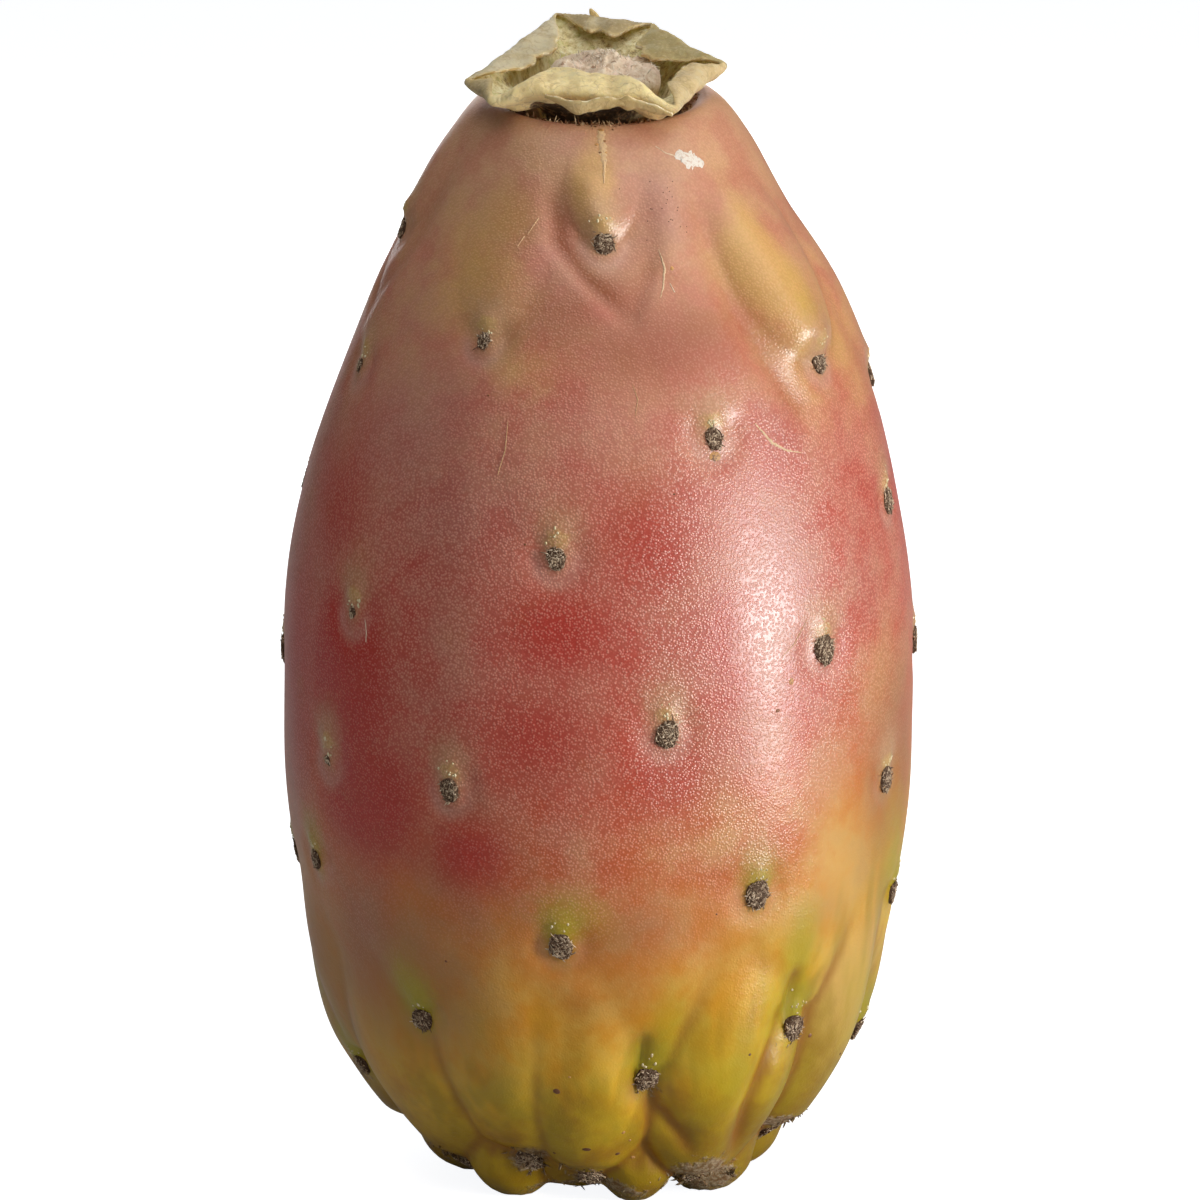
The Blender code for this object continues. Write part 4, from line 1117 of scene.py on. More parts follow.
def grow_hairs(name, roots, ways, curls, lengths, radii, tones):
    """A mesh of hairs from their roots, directions, curls, lengths, radii and tones."""
    roots, ways, curls = (np.asarray(v, float).reshape(-1, 3) for v in (roots, ways, curls))
    lengths, radii = np.asarray(lengths, float), np.asarray(radii, float)
    ways /= np.linalg.norm(ways, axis=1)[:, None]
    first = np.cross(ways, np.where(np.abs(ways[:, 2:]) < 0.9, [[0.0, 0.0, 1.0]], [[1.0, 0.0, 0.0]]))
    first /= np.linalg.norm(first, axis=1)[:, None]
    second = np.cross(ways, first)

    def line(t):
        return roots + (ways * t + curls * t * t) * lengths[:, None]

    points = []
    for t, wide in zip(HAIR_AT, HAIR_WIDE):
        for k in range(HAIR_SIDES):
            a = k * math.tau / HAIR_SIDES
            points.append(line(t) + (first * math.cos(a) + second * math.sin(a)) * (radii * wide)[:, None])
    points.append(line(1.0))
    each = len(points)
    points = np.stack(points, axis=1).reshape(-1, 3)
    one = []
    for ring in range(len(HAIR_AT) - 1):
        for k in range(HAIR_SIDES):
            a, b = ring * HAIR_SIDES + k, ring * HAIR_SIDES + (k + 1) % HAIR_SIDES
            one.append((a, b, b + HAIR_SIDES, a + HAIR_SIDES))
    last = (len(HAIR_AT) - 1) * HAIR_SIDES
    tips = [(last + k, last + (k + 1) % HAIR_SIDES, each - 1) for k in range(HAIR_SIDES)]
    starts = np.arange(len(roots)) * each
    faces = (np.array(one)[None] + starts[:, None, None]).reshape(-1, 4).tolist()
    faces += (np.array(tips)[None] + starts[:, None, None]).reshape(-1, 3).tolist()
    hairs = new_object(name, points, faces)
    set_mask(hairs, "tone", np.repeat(np.asarray(tones, float), each))
    return hairs


# %% [markdown]
# The stubble covers a cushion and leans towards its middle. On the crown it is longer and stands up more.
# Each hair gets a tone between brown and straw, paler on a pale cushion.

# %% Stubble on the cushions
STUBBLE = 150                  # hairs on a cushion of size 1
STUBBLE_LENGTH, STUBBLE_RADIUS = (0.00016, 0.00034), (0.000045, 0.000080)
STUBBLE_SUNK = 0.00003
INWARD, CURLY = 0.55, 0.45
rng = np.random.default_rng(SEED)
roots, ways, curls, lengths, radii, tones = [], [], [], [], [], []
for (hit, out, up, side), (size, pale), (lean, seed), areole in zip(seats, felt, pad_shapes, areoles):
    shaggy = 1.0 if areole[4] != SIDE_LOBE else 0.0
    count = int(STUBBLE * size * size * (1.0 + 0.2 * shaggy))
    share = np.sqrt(rng.uniform(0.0, 0.94, count))
    a = rng.uniform(0.0, math.tau, count)
    edge = np.array([pad_edge(v, lean, seed) for v in a])
    px = PAD_WIDE * PAD_RADIUS * size * share * edge * np.cos(a)
    py = PAD_TALL * PAD_RADIUS * size * share * edge * np.sin(a)
    lift = PAD_STAND * size * pad_height(share) - STUBBLE_SUNK
    roots.append(np.array(hit) + np.outer(px, side) + np.outer(py, up) + np.outer(lift, out))
    flat = rng.uniform(0.0, math.tau, count)
    inward = -INWARD * share[:, None] * np.column_stack([np.cos(a), np.sin(a)])
    flat = np.column_stack([np.cos(flat), np.sin(flat)]) + inward
    rise = rng.uniform(0.10, 0.45, count) + 0.3 * shaggy * rng.uniform(0.0, 1.0, count)
    ways.append(np.outer(rise, out) + flat[:, :1] * np.array(side) + flat[:, 1:] * np.array(up))
    bend = rng.normal(size=(count, 2)) * CURLY
    curls.append(bend[:, :1] * np.array(side) + bend[:, 1:] * np.array(up) - np.outer(0.6 * rise, out))
    lengths.append(rng.uniform(*STUBBLE_LENGTH, count) * (1.0 + 0.3 * shaggy))
    radii.append(rng.uniform(*STUBBLE_RADIUS, count))
    tones.append(np.clip(rng.beta(1.1, 1.0, count) + 0.5 * (pale - 0.45), 0.0, 1.0))
hair_parts = (roots, ways, curls, lengths, radii, tones)
stubble = grow_hairs("areole_stubble", *(np.concatenate(part) for part in hair_parts))
print("stubble:", sum(len(v) for v in lengths), "hairs")

# %% [markdown]
# Felt has no shine of its own: it is a dark brown ground with paler, greyer hairs. The hair's tone,
# stored when it was grown, picks its colour.

# %% Felt and stubble finishes
FELT_DARK, FELT_LIGHT = (0.085, 0.045, 0.026), (0.210, 0.135, 0.085)
STUBBLE_TONES = (
    (0.0, (0.140, 0.078, 0.044)), (0.30, (0.270, 0.175, 0.110)), (0.65, (0.480, 0.350, 0.230)),
    (1.0, (0.760, 0.600, 0.430)),
)

felt_material, n, felt_shader = new_material("areole felt")
at = n.millimetres()
specks = n.blotches(at, 5.5, 0.42, 0.68, rough=0.7)
ground = n.blend(specks, FELT_DARK, FELT_LIGHT)
feed(n, felt_shader, Base_Color=ground, Roughness=0.92, Specular_IOR_Level=0.2,
     Normal=roughened(n, at, 7.0, 0.8, 0.0003))

stubble_material = toned_material("areole stubble", STUBBLE_TONES, 0.65, 0.3)
pads.data.materials.append(felt_material)
stubble.data.materials.append(stubble_material)
for piece in (pads, stubble):
    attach(piece, "root")
print("finishes:", felt_material.name, "and", stubble_material.name)

# %% [markdown]
# ## Specks on the skin
# Above each cushion sit a few pale, shiny specks, the stumps of hairs on the green swelling, and the
# skin has some brown dots and crumbs. Each is a small lens half sunk in the skin; a dot this small
# drawn in the material would need its place worked out there all the same.


# %% Making specks
SPECKS_EACH = (5, 9)
SPECK_SIZE = (0.00005, 0.00012)


def specks_mesh(name, rows, sides=7):
    """Small lenses on the skin, from (point, out, up, side, half sizes across, up and out, tone)."""
    points, faces, tone = [], [], []
    for hit, out, up, side, (wide, tall, high), value in rows:
        start = len(points)
        for share, lift in ((1.0, -0.25), (0.72, 0.62)):
            for k in range(sides):
                a = k * math.tau / sides
                place = hit + side * (wide * share * math.cos(a)) + up * (tall * share * math.sin(a))
                points.append(place + out * high * lift)
        points.append(hit + out * high)
        for k in range(sides):
            b = (k + 1) % sides
            faces.append((start + k, start + b, start + sides + b, start + sides + k))
            faces.append((start + sides + k, start + sides + b, start + 2 * sides))
        tone += [value] * (2 * sides + 1)
    obj = new_object(name, points, faces)
    set_mask(obj, "tone", tone)
    return obj


rows = []
for (turn_, along_, _, _, shape), (size, pale) in zip(areoles, felt):
    if shape != SIDE_LOBE:
        continue
    radius = outline.at(along_)[0]
    for _ in range(draw.randint(*SPECKS_EACH)):
        aside, above = draw.gauss(0.0, 0.00045), 0.0011 * size + abs(draw.gauss(0.0, 0.0006))
        hit, out, up, side = on_skin(turn_ + aside / radius, along_ + above)
        big = draw.uniform(*SPECK_SIZE)
        half_sizes = (big, big * draw.uniform(0.8, 1.8), big * 0.8)
        rows.append((hit, out, up, side, half_sizes, draw.uniform(0.5, 1.0)))
pale_specks = specks_mesh("areole_specks", rows)
print("pale specks:", len(rows))

# %% [markdown]
# The brown dots and crumbs are placed one by one, as the photograph shows them. A cluster of tiny ones
# near the stem and those behind are seeded.

# %% Brown dots and crumbs
# (turn in degrees, height, half width in mm, half height in mm, tone: 0 dark brown to 1 orange tan)
DOTS = (
    (36, 0.0419, 0.24, 0.30, 0.75), (33, 0.0399, 0.22, 0.15, 0.45), (-9, 0.0115, 0.32, 0.28, 0.25),
    (-6, 0.0128, 0.14, 0.08, 0.95), (23, 0.0585, 0.50, 0.48, 0.80), (1, 0.0822, 0.26, 0.22, 0.80),
    (-1, 0.0814, 0.18, 0.14, 0.80), (2.4, 0.0816, 0.16, 0.14, 0.60), (0.6, 0.0809, 0.16, 0.12, 0.55),
    (2.8, 0.0809, 0.12, 0.12, 0.90), (31, 0.0143, 0.14, 0.12, 0.15), (49, 0.0098, 0.26, 0.24, 0.35),
    (63, 0.0118, 0.15, 0.12, 0.30), (52, 0.0135, 0.18, 0.20, 0.50), (51, 0.0075, 0.16, 0.14, 0.60),
    (6, 0.0080, 0.18, 0.16, 0.85), (5, 0.0060, 0.24, 0.18, 0.35), (-3, 0.0068, 0.36, 0.22, 0.15),
    (8, 0.0070, 0.14, 0.12, 0.80), (-12, 0.0058, 0.16, 0.12, 0.20), (10, 0.0050, 0.20, 0.16, 0.90),
    (-30, 0.0210, 0.12, 0.12, 0.30), (20, 0.0728, 0.16, 0.20, 0.90), (-26, 0.0630, 0.10, 0.10, 0.50),
    (-14, 0.0525, 0.10, 0.10, 0.40), (14, 0.0560, 0.10, 0.08, 0.60), (-3, 0.0330, 0.08, 0.08, 0.70),
    (22, 0.0250, 0.08, 0.10, 0.50),
)
CLUSTER_DOTS, BACK_DOTS = 22, 26
DOT_STAND = 0.00005            # how far a dot stands out of the skin

draw = random.Random(SEED + 9)
dots = list(DOTS)
dots += [
    (draw.gauss(20, 4.5), draw.gauss(0.0768, 0.0014), 0.05, 0.05, draw.uniform(0.0, 0.3))
    for _ in range(CLUSTER_DOTS)
]
dots += [
    (draw.uniform(*BACK_TURNS), draw.uniform(0.006, 0.070), draw.uniform(0.10, 0.30),
     draw.uniform(0.10, 0.26), draw.random())
    for _ in range(BACK_DOTS)
]
rows = []
for degrees, height, wide, tall, value in dots:
    hit, out, up, side = on_skin(math.radians(degrees), outline.along_at_height(height))
    rows.append((hit, out, up, side, (wide * 0.001, tall * 0.001, DOT_STAND), value))
brown_dots = specks_mesh("brown_dots", rows)
print("brown dots:", len(rows))

# %% [markdown]
# Scars and scratches are thin pale slivers of dried skin. Each follows a few places on the fruit, is
# laid on the skin in short steps, and gets an uneven width, so its edge is torn like the real one.


# %% Slivers laid on the skin
# (places as (turn in degrees, height, half width in mm), tone: 0 brown to 1 white)
SLIVERS = (
    (((31.5, 0.0802, 0.10), (34.0, 0.0803, 0.52), (37.5, 0.0800, 0.80), (41.5, 0.0796, 0.66),
      (43.8, 0.0795, 0.18)), 1.00),
    (((24.5, 0.0811, 0.03), (28.0, 0.0806, 0.06), (31.0, 0.0804, 0.05), (33.0, 0.0802, 0.08)), 0.70),
    (((17.2, 0.0742, 0.03), (17.8, 0.0728, 0.10), (16.6, 0.0716, 0.07), (15.2, 0.0708, 0.04)), 0.62),
    (((18.6, 0.0718, 0.04), (19.4, 0.0711, 0.07)), 0.75),
    (((0.6, 0.0822, 0.36), (1.2, 0.0815, 0.38), (1.8, 0.0808, 0.30), (1.9, 0.0800, 0.14),
      (1.5, 0.0788, 0.04)), 0.55),
    (((-20.5, 0.0612, 0.03), (-20.0, 0.0590, 0.05), (-20.8, 0.0572, 0.03)), 0.30),
    (((33.0, 0.0606, 0.06), (36.5, 0.0590, 0.15), (40.0, 0.0583, 0.10), (43.5, 0.0580, 0.04)), 0.62),
    (((34.0, 0.0438, 0.02), (37.0, 0.0446, 0.04), (40.0, 0.0462, 0.03)), 0.35),
    (((-46.8, 0.0458, 0.03), (-46.2, 0.0449, 0.06), (-45.9, 0.0442, 0.03)), 0.80),
    (((-23.0, 0.0752, 0.02), (-20.5, 0.0764, 0.04)), 0.55),
    (((-25.5, 0.0742, 0.02), (-24.0, 0.0750, 0.04)), 0.55),
    (((6.0, 0.0642, 0.02), (7.0, 0.0630, 0.04), (6.4, 0.0618, 0.02)), 0.35),
    (((120.0, 0.0700, 0.04), (124.0, 0.0690, 0.12), (127.0, 0.0684, 0.05)), 0.80),
    (((200.0, 0.0480, 0.03), (206.0, 0.0471, 0.07), (211.0, 0.0474, 0.03)), 0.50),
    (((245.0, 0.0600, 0.03), (247.0, 0.0585, 0.09), (246.0, 0.0570, 0.03)), 0.65),
)
SLIVER_STEP, RAISED = 0.00012, 0.00004
# across a sliver: (share of its half width, share of how far it is raised)
SLIVER_SECTION = ((-1.0, -0.3), (-0.6, 0.8), (0.0, 1.0), (0.6, 0.8), (1.0, -0.3))


def lay_sliver(places, tone):
    """Points, faces and tone of one strip that lies on the skin."""
    path = np.array([(math.radians(a), outline.along_at_height(b), c * 0.001) for a, b, c in places])
    radius = outline.at(path[:, 1].mean())[0]
    run = np.concatenate([[0.0], np.cumsum(np.hypot(np.diff(path[:, 0]) * radius, np.diff(path[:, 1])))])
    at = np.linspace(0.0, run[-1], max(4, int(run[-1] / SLIVER_STEP)))
    fine = np.column_stack([np.interp(at, run, path[:, k]) for k in range(3)])
    points = []
    for i, (a, b, half) in enumerate(fine):
        before, after = fine[max(i - 1, 0)], fine[min(i + 1, len(fine) - 1)]
        way = np.array([(after[0] - before[0]) * radius, after[1] - before[1]])
        way /= np.linalg.norm(way) + 1e-12
        left, right = (half * draw.uniform(0.55, 1.25) for _ in range(2))
        for part, lift in SLIVER_SECTION:
            reach = part * (left if part < 0.0 else right)
            hit, out, _, _ = on_skin(a - way[1] * reach / radius, b + way[0] * reach)
            points.append(hit + out * (RAISED * lift))
    wide = len(SLIVER_SECTION)
    faces = [
        (wide * i + k, wide * i + k + 1, wide * (i + 1) + k + 1, wide * (i + 1) + k)
        for i in range(len(fine) - 1) for k in range(wide - 1)
    ]
    return points, faces, [tone] * len(points)


all_points, all_faces, all_tones = [], [], []
for places, tone in SLIVERS:
    points, faces, tones_ = lay_sliver(places, tone)
    all_faces += [tuple(v + len(all_points) for v in face) for face in faces]
    all_points += points
    all_tones += tones_
scratches = new_object("scars_and_scratches", all_points, all_faces)
set_mask(scratches, "tone", all_tones)
print("slivers:", len(SLIVERS), "with", len(scratches.data.polygons), "faces")

# %% [markdown]
# The tone stored on each mark picks its colour. A speck is yellowish and shiny, a dot goes from dark
# brown to orange tan, and a sliver from brown to white, with the relief of torn fibres.

# %% Finishes of the marks
SPECK_TONES = ((0.0, (0.46, 0.34, 0.10)), (1.0, (0.80, 0.70, 0.46)))
DOT_TONES = ((0.0, (0.070, 0.025, 0.012)), (0.5, (0.300, 0.110, 0.035)), (1.0, (0.760, 0.400, 0.120)))
SCAR_TONES = ((0.0, (0.36, 0.180, 0.090)), (0.5, (0.74, 0.470, 0.210)), (1.0, (0.88, 0.800, 0.700)))
DOT_BLOTCH, SCAR_BLOTCH = (0.12, 0.050, 0.022), (0.62, 0.380, 0.240)

speck_material = toned_material("pale speck", SPECK_TONES, 0.3)
dot_material, n, dot_shader = new_material("brown dot")
blotch = n.blotches(n.millimetres(), 5.0, 0.44, 0.70, rough=0.7)
dot_colour = n.blend(blotch, n.ramp(n.mask("tone"), DOT_TONES), DOT_BLOTCH)
feed(n, dot_shader, Base_Color=dot_colour, Roughness=0.6)
scar_material, n, scar_shader = new_material("pale scar")
at = n.millimetres()
blotch = n.blotches(at, 5.0, 0.50, 0.75)
scar_colour = n.blend(blotch, n.ramp(n.mask("tone"), SCAR_TONES), SCAR_BLOTCH)
feed(n, scar_shader, Base_Color=scar_colour, Roughness=0.6,
     Normal=roughened(n, at, 6.0, 0.6, 0.0002))
pale_specks.data.materials.append(speck_material)
brown_dots.data.materials.append(dot_material)
scratches.data.materials.append(scar_material)
for piece in (pale_specks, brown_dots, scratches):
    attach(piece, "root")
print("marks:", [piece.name for piece in (pale_specks, brown_dots, scratches)])

# %% [markdown]
# On the crown, and in the sharp creases above it, the dead leaves and flower parts are left as small
# dried scales: a corky tip with a hook on the largest lobe, a pale crust along the rim, and flakes by
# the lowest areoles. Each scale is one thick, bent spike, so the hair builder makes them too.

# %% Dried scales on the crown
# (turn in degrees, height, spread in degrees, spread in mm, how many, length in mm, tone: 0 dark to 1 pale)
SCALES = (
    (33, 0.0030, 4.5, 1.0, 26, 0.75, 0.50), (43, 0.0036, 0.8, 0.2, 3, 1.30, 0.35),
    (2, 0.0027, 8.0, 0.5, 40, 0.42, 0.85), (-4, 0.0040, 3.0, 0.5, 12, 0.45, 0.35),
    (-22, 0.0050, 3.0, 0.5, 12, 0.45, 0.35), (-54, 0.0030, 4.0, 0.5, 14, 0.50, 0.35),
    (62, 0.0062, 4.0, 0.7, 16, 0.55, 0.45), (11, 0.0112, 2.2, 0.4, 14, 0.50, 0.80),
    (44, 0.0144, 2.2, 0.4, 14, 0.50, 0.75),
)
LOWEST_SCALE, SCALE_SUNK = 0.0018, 0.0001
TIP_CLEAR = 0.0003             # no scale reaches lower than this, because the fruit stands there

draw = random.Random(SEED + 12)
clusters = list(SCALES) + [
    (math.degrees(a) + draw.gauss(0.0, 3.0), 0.0038, 4.0, 0.6, 14, draw.uniform(0.4, 0.8),
     draw.uniform(0.3, 0.7))
    for a, _, _, _, shape in areoles if shape == CROWN_LOBE and abs(a) > math.radians(80)
]
scale_parts = []
for degrees, height, spread, climb_, number, length, value in clusters:
    for _ in range(number):
        a = math.radians(draw.gauss(degrees, spread))
        place = max(LOWEST_SCALE, draw.gauss(height, 0.001 * climb_))
        hit, out, up, side = on_skin(a, outline.along_at_height(place))
        way = out * draw.uniform(0.3, 0.9) - up * draw.uniform(-0.2, 0.8) + side * draw.gauss(0.0, 0.5)
        curl = side * draw.gauss(0.0, 0.4) - out * 0.2 - up * 0.2
        long = 0.001 * length * draw.uniform(0.5, 1.2)
        if (hit + (way.normalized() + curl) * long).z > TIP_CLEAR:
            half = long * draw.uniform(0.14, 0.26)
            shade = min(1.0, max(0.0, draw.gauss(value, 0.2)))
            scale_parts.append((hit - out * SCALE_SUNK, way, curl, long, half, shade))
scales = grow_hairs("crown_scales", *zip(*scale_parts))
print("dried scales:", len(scale_parts))

# %% [markdown]
# A dried scale is as dull as bark, brown to pale tan by its tone, with darker blotches.

# %% Finish of the scales
SCALE_TONES = ((0.0, (0.110, 0.055, 0.026)), (0.5, (0.340, 0.220, 0.110)), (1.0, (0.720, 0.560, 0.330)))
SCALE_BLOTCH = (0.16, 0.085, 0.040)

scale_material, n, scale_shader = new_material("dried scale")
at = n.millimetres()
tone = n.ramp(n.mask("tone"), SCALE_TONES)
tone = n.lay(tone, n.blotches(at, 4.0, 0.45, 0.65), 0.5, SCALE_BLOTCH)
feed(n, scale_shader, Base_Color=tone, Roughness=0.85, Specular_IOR_Level=0.25,
     Normal=roughened(n, at, 6.0, 0.8, 0.0003))
scales.data.materials.append(scale_material)
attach(scales, "root")
print("scale material:", len(scale_material.node_tree.nodes), "nodes")

# %% [markdown]
# ## The dried collar
# When the fruit was cut, a piece of the pad's skin stayed on its stem end and dried. It is a
# six-cornered cup whose sides have rolled inwards, so its outer skin shows on top of the rolls and its
# fibrous inside in the corners. As in the plain solid, one section is worked out for each direction,
# now as a sheet a quarter of a millimetre thick.

# %% Numbers of the collar
COLLAR_CENTRE = (-0.0003, 0.0, 0.0843)
NECK_RADIUS, NECK_FOOT, NECK_BEND = 0.0053, -0.0036, 0.0006
NECK_FLARE, NECK_HEIGHT, CUP_DEPTH = 0.0008, 0.0018, 0.0013
# (direction in degrees from +X, radius, lift), then for the side that follows: (flap width, edge lift,
# how much its middle is raised, the part by which the flap narrows towards the next corner)
CORNERS = (
    (0, 0.0098, 0.0002, 0.0028, -0.0003, 0.0, 0.0), (65, 0.0103, 0.0007, 0.0026, -0.0005, 0.0, 0.0),
    (105, 0.0115, 0.0010, 0.0024, -0.0003, 0.0, 0.0), (200, 0.0102, 0.0000, 0.0003, 0.0002, 0.0, 0.0),
    (225, 0.0109, -0.0002, 0.0029, 0.0004, 0.0007, 0.55), (300, 0.0120, -0.0002, 0.0011, 0.0003, 0.0, 0.0),
)
FLAP_EASE, FLAP_LEAST, ROLL, ROLL_CORNER, SAG = 0.0026, 0.0002, 0.00045, 0.4, 0.0004
SHEET = 0.00026                # thickness of the dried skin
WALL = 0.0006                  # thickness of the plain solid's wall
COLLAR_STEPS, COLLAR_ROWS = 240, 64
print("collar:", len(CORNERS), "corners")

# %% [markdown]
# A section starts in the middle of the neck's floor, climbs the neck, spreads to the fold and rolls back
# inwards as a flap. Between two corners the fold follows a straight side, as the cut skin did. Towards a
# corner the flap shrinks, so that two flaps never cross.


# %% The collar's section in one direction
def collar_section(direction, wobble):
    """(radius, height) points from the floor's middle to the free edge, and the share of flap here."""
    degrees = math.degrees(direction) % 360.0
    side = max(i for i, corner in enumerate(CORNERS) if corner[0] <= degrees + 0.001)
    start, r1, lift1, flap, edge_lift, raised, narrowing = CORNERS[side]
    end, r2, lift2 = CORNERS[(side + 1) % len(CORNERS)][:3]
    p1 = r1 * np.array([math.cos(math.radians(start)), math.sin(math.radians(start))])
    p2 = r2 * np.array([math.cos(math.radians(end)), math.sin(math.radians(end))])
    ray = np.array([math.cos(direction), math.sin(direction)])
    edge = p2 - p1
    share = float((p1[0] * ray[1] - p1[1] * ray[0]) / (ray[0] * edge[1] - ray[1] * edge[0]))
    from_corner = float(np.linalg.norm(edge)) * min(share, 1.0 - share)
    full = float(ease(from_corner, 0.0, FLAP_EASE))
    radius = float(np.linalg.norm(p1 + share * edge)) - SAG * full
    lift = lift1 + share * (lift2 - lift1) + raised * full
    fold = ROLL * (ROLL_CORNER + (1.0 - ROLL_CORNER) * full)
    flap = flap * (1.0 + 0.22 * wobble) * (1.0 - narrowing * share)
    floor_ = NECK_FOOT + 0.5 * WALL
    points = [
        (0.0, floor_), (NECK_RADIUS - NECK_BEND, floor_), (NECK_RADIUS, floor_ + NECK_BEND),
        (NECK_RADIUS + NECK_FLARE, floor_ + NECK_HEIGHT), (0.5 * (NECK_RADIUS + radius), lift - CUP_DEPTH),
        (radius - 0.5 * fold, lift - 0.8 * fold), (radius, lift), (radius - 0.7 * fold, lift + 0.9 * fold),
        (radius - fold - 0.5 * flap * full, lift + 1.2 * fold + 0.6 * edge_lift * full),
        (radius - fold - FLAP_LEAST - flap * full, lift + fold + edge_lift * full),
    ]
    return points, side, full


# %% [markdown]
# The sheet is the grid of those sections. Its free edge is frayed a little, and the sheet ripples where
# the skin dried unevenly. Solidify then gives it its thickness, with one finish outside, another
# inside, and a third on the torn edge.

# %% The collar's sheet
NOTCH_TURN, NOTCH_WIDTH, NOTCH_DEPTH = 87.0, 3.5, 2.4       # a tear in the middle of the back, degrees
OPEN_EDGE, LOOSE_PART, FOLD_PART = (0.955, 1.0), (0.45, 0.75), (0.615, 0.660)      # shares of a section
RIPPLES = ((0.00016, 0.0035, 23), (0.00009, 0.0013, 24))    # (size, length, seed)
TEAR_TURN, TEAR_WIDTH = math.radians(265.0), 0.75

directions = np.arange(COLLAR_STEPS) * math.tau / COLLAR_STEPS
circle = np.column_stack([np.cos(directions), np.sin(directions), np.zeros(COLLAR_STEPS)])
wobbles = waves(circle, 0.9, 21) + 0.6 * waves(circle, 0.22, 22)
wobbles -= NOTCH_DEPTH * np.exp(-((np.degrees(directions) - NOTCH_TURN) / NOTCH_WIDTH) ** 2)
share = np.linspace(0.0, 1.0, COLLAR_ROWS)
reach, lift, panel, open_edge = (np.empty((COLLAR_ROWS, COLLAR_STEPS)) for _ in range(4))
for i, direction in enumerate(directions):
    points, side_number, full = collar_section(direction, wobbles[i])
    fine = curve_through(points, 0.0001)
    run = np.linspace(0.0, 1.0, len(fine))
    reach[:, i], lift[:, i] = (np.interp(share, run, fine[:, k]) for k in range(2))
    panel[:, i] = side_number
    open_edge[:, i] = ease(share, *OPEN_EDGE)
flat = np.stack([reach * np.cos(directions), reach * np.sin(directions), lift], axis=-1).reshape(-1, 3)
loose = np.repeat(ease(share, *LOOSE_PART), COLLAR_STEPS)
flat[:, 2] += loose * sum(size * waves(flat, length, seed) for size, length, seed in RIPPLES)
collar_seat = Matrix.Translation(COLLAR_CENTRE) @ Matrix.Rotation(STEM_TILT, 4, "X")
seat_turn, seat_move = np.array(collar_seat.to_3x3()), np.array(collar_seat.translation)
# the first row is all one point at the floor's middle
flat = np.vstack([flat[:1], flat[COLLAR_STEPS:]])
faces = grid_faces(COLLAR_ROWS - 1, COLLAR_STEPS, top=True)
collar = new_object("collar_skin", flat @ seat_turn.T + seat_move, [face[::-1] for face in faces])
set_mask(collar, "panel", np.concatenate([[0.0], panel[1:].ravel()]))
set_mask(collar, "open_edge", np.concatenate([[0.0], open_edge[1:].ravel()]))
# the mask of the painted shadow under the fold at the front, behind the torn lip
front = np.exp(-(across(directions, TEAR_TURN, 1.0) / TEAR_WIDTH) ** 2)
under = 1.0 - ease(share, *FOLD_PART)
set_mask(collar, "tear", np.concatenate([[0.0], np.outer(under, front)[1:].ravel()]))
thick = collar.modifiers.new("sheet", "SOLIDIFY")
thick.thickness, thick.offset = SHEET, 0.0
thick.material_offset, thick.material_offset_rim = 1, 2
print("collar:", len(collar.data.polygons), "faces before it is thickened")

# %% [markdown]
# Outside, the dried skin is tan with olive and grey panels, blots and fine speckles; the front panel is
# brightened as painted light. Under the fold at the front lies a painted shadow, near black with brown
# blotches of torn fibres. Thin lines of painted crease shade run over the skin, and a paler band along
# the free edge is a painted highlight.

# %% Collar finish: outside
# one tone for each side of the collar, from the right round by the back and the left to the front; the
# front's tone, at 0.8, is raised to full brightness as painted light against the torn lip's shade
PANEL_TONES_AND_PAINTED_LIGHT = (
    (0.0, (0.44, 0.350, 0.150)), (0.2, (0.46, 0.360, 0.190)), (0.4, (0.62, 0.540, 0.350)),
    (0.6, (0.58, 0.470, 0.260)), (0.8, (1.0, 0.790, 0.400)), (1.0, (0.66, 0.500, 0.260)),
)
BLOT_BROWN, BLOT_GREY, FRECKLE_TAN = (0.42, 0.290, 0.110), (0.66, 0.600, 0.420), (0.78, 0.660, 0.420)
EDGE_HIGHLIGHT_TAN, WRINKLE_SHADE = (0.74, 0.560, 0.250), (0.30, 0.180, 0.070)
FOLD_SHADOW_DARK, TORN_LIGHT = (0.070, 0.030, 0.014), (0.360, 0.200, 0.090)
THIN_SKIN = {"Subsurface_Weight": 0.30, "Subsurface_Radius": (1.0, 0.80, 0.40), "Subsurface_Scale": 0.0006}

outside_material, n, outside_shader = new_material("dried pad skin")
at = n.millimetres()
blots = n.noise(at, 0.55, detail=4.0, rough=0.65)
tone = n.ramp(n.sum("DIVIDE", n.mask("panel"), 5.0), PANEL_TONES_AND_PAINTED_LIGHT)
tone = n.lay(tone, n.step(blots, 0.48, 0.64), 0.36, BLOT_BROWN)
tone = n.lay(tone, n.step(blots, 0.48, 0.28), 0.35, BLOT_GREY)
tone = n.lay(tone, n.blotches(at, 4.2, 0.54, 0.70, detail=2.0, rough=0.6), 0.35, FRECKLE_TAN)
# painted highlight: a paler band along the free edge of each flap, and over the lip and the flake
tone = n.lay(tone, n.mask("open_edge"), 0.60, EDGE_HIGHLIGHT_TAN)
# painted shadow under the fold: near black, blotched with the brown of torn fibres
torn = n.blend(n.blotches(at, 3.0, 0.52, 0.66), FOLD_SHADOW_DARK, TORN_LIGHT)
tone = n.lay(tone, frayed(n, "tear", n.noise(at, 2.2, detail=3.0), 0.7, 0.5, 0.12), 0.95, torn)
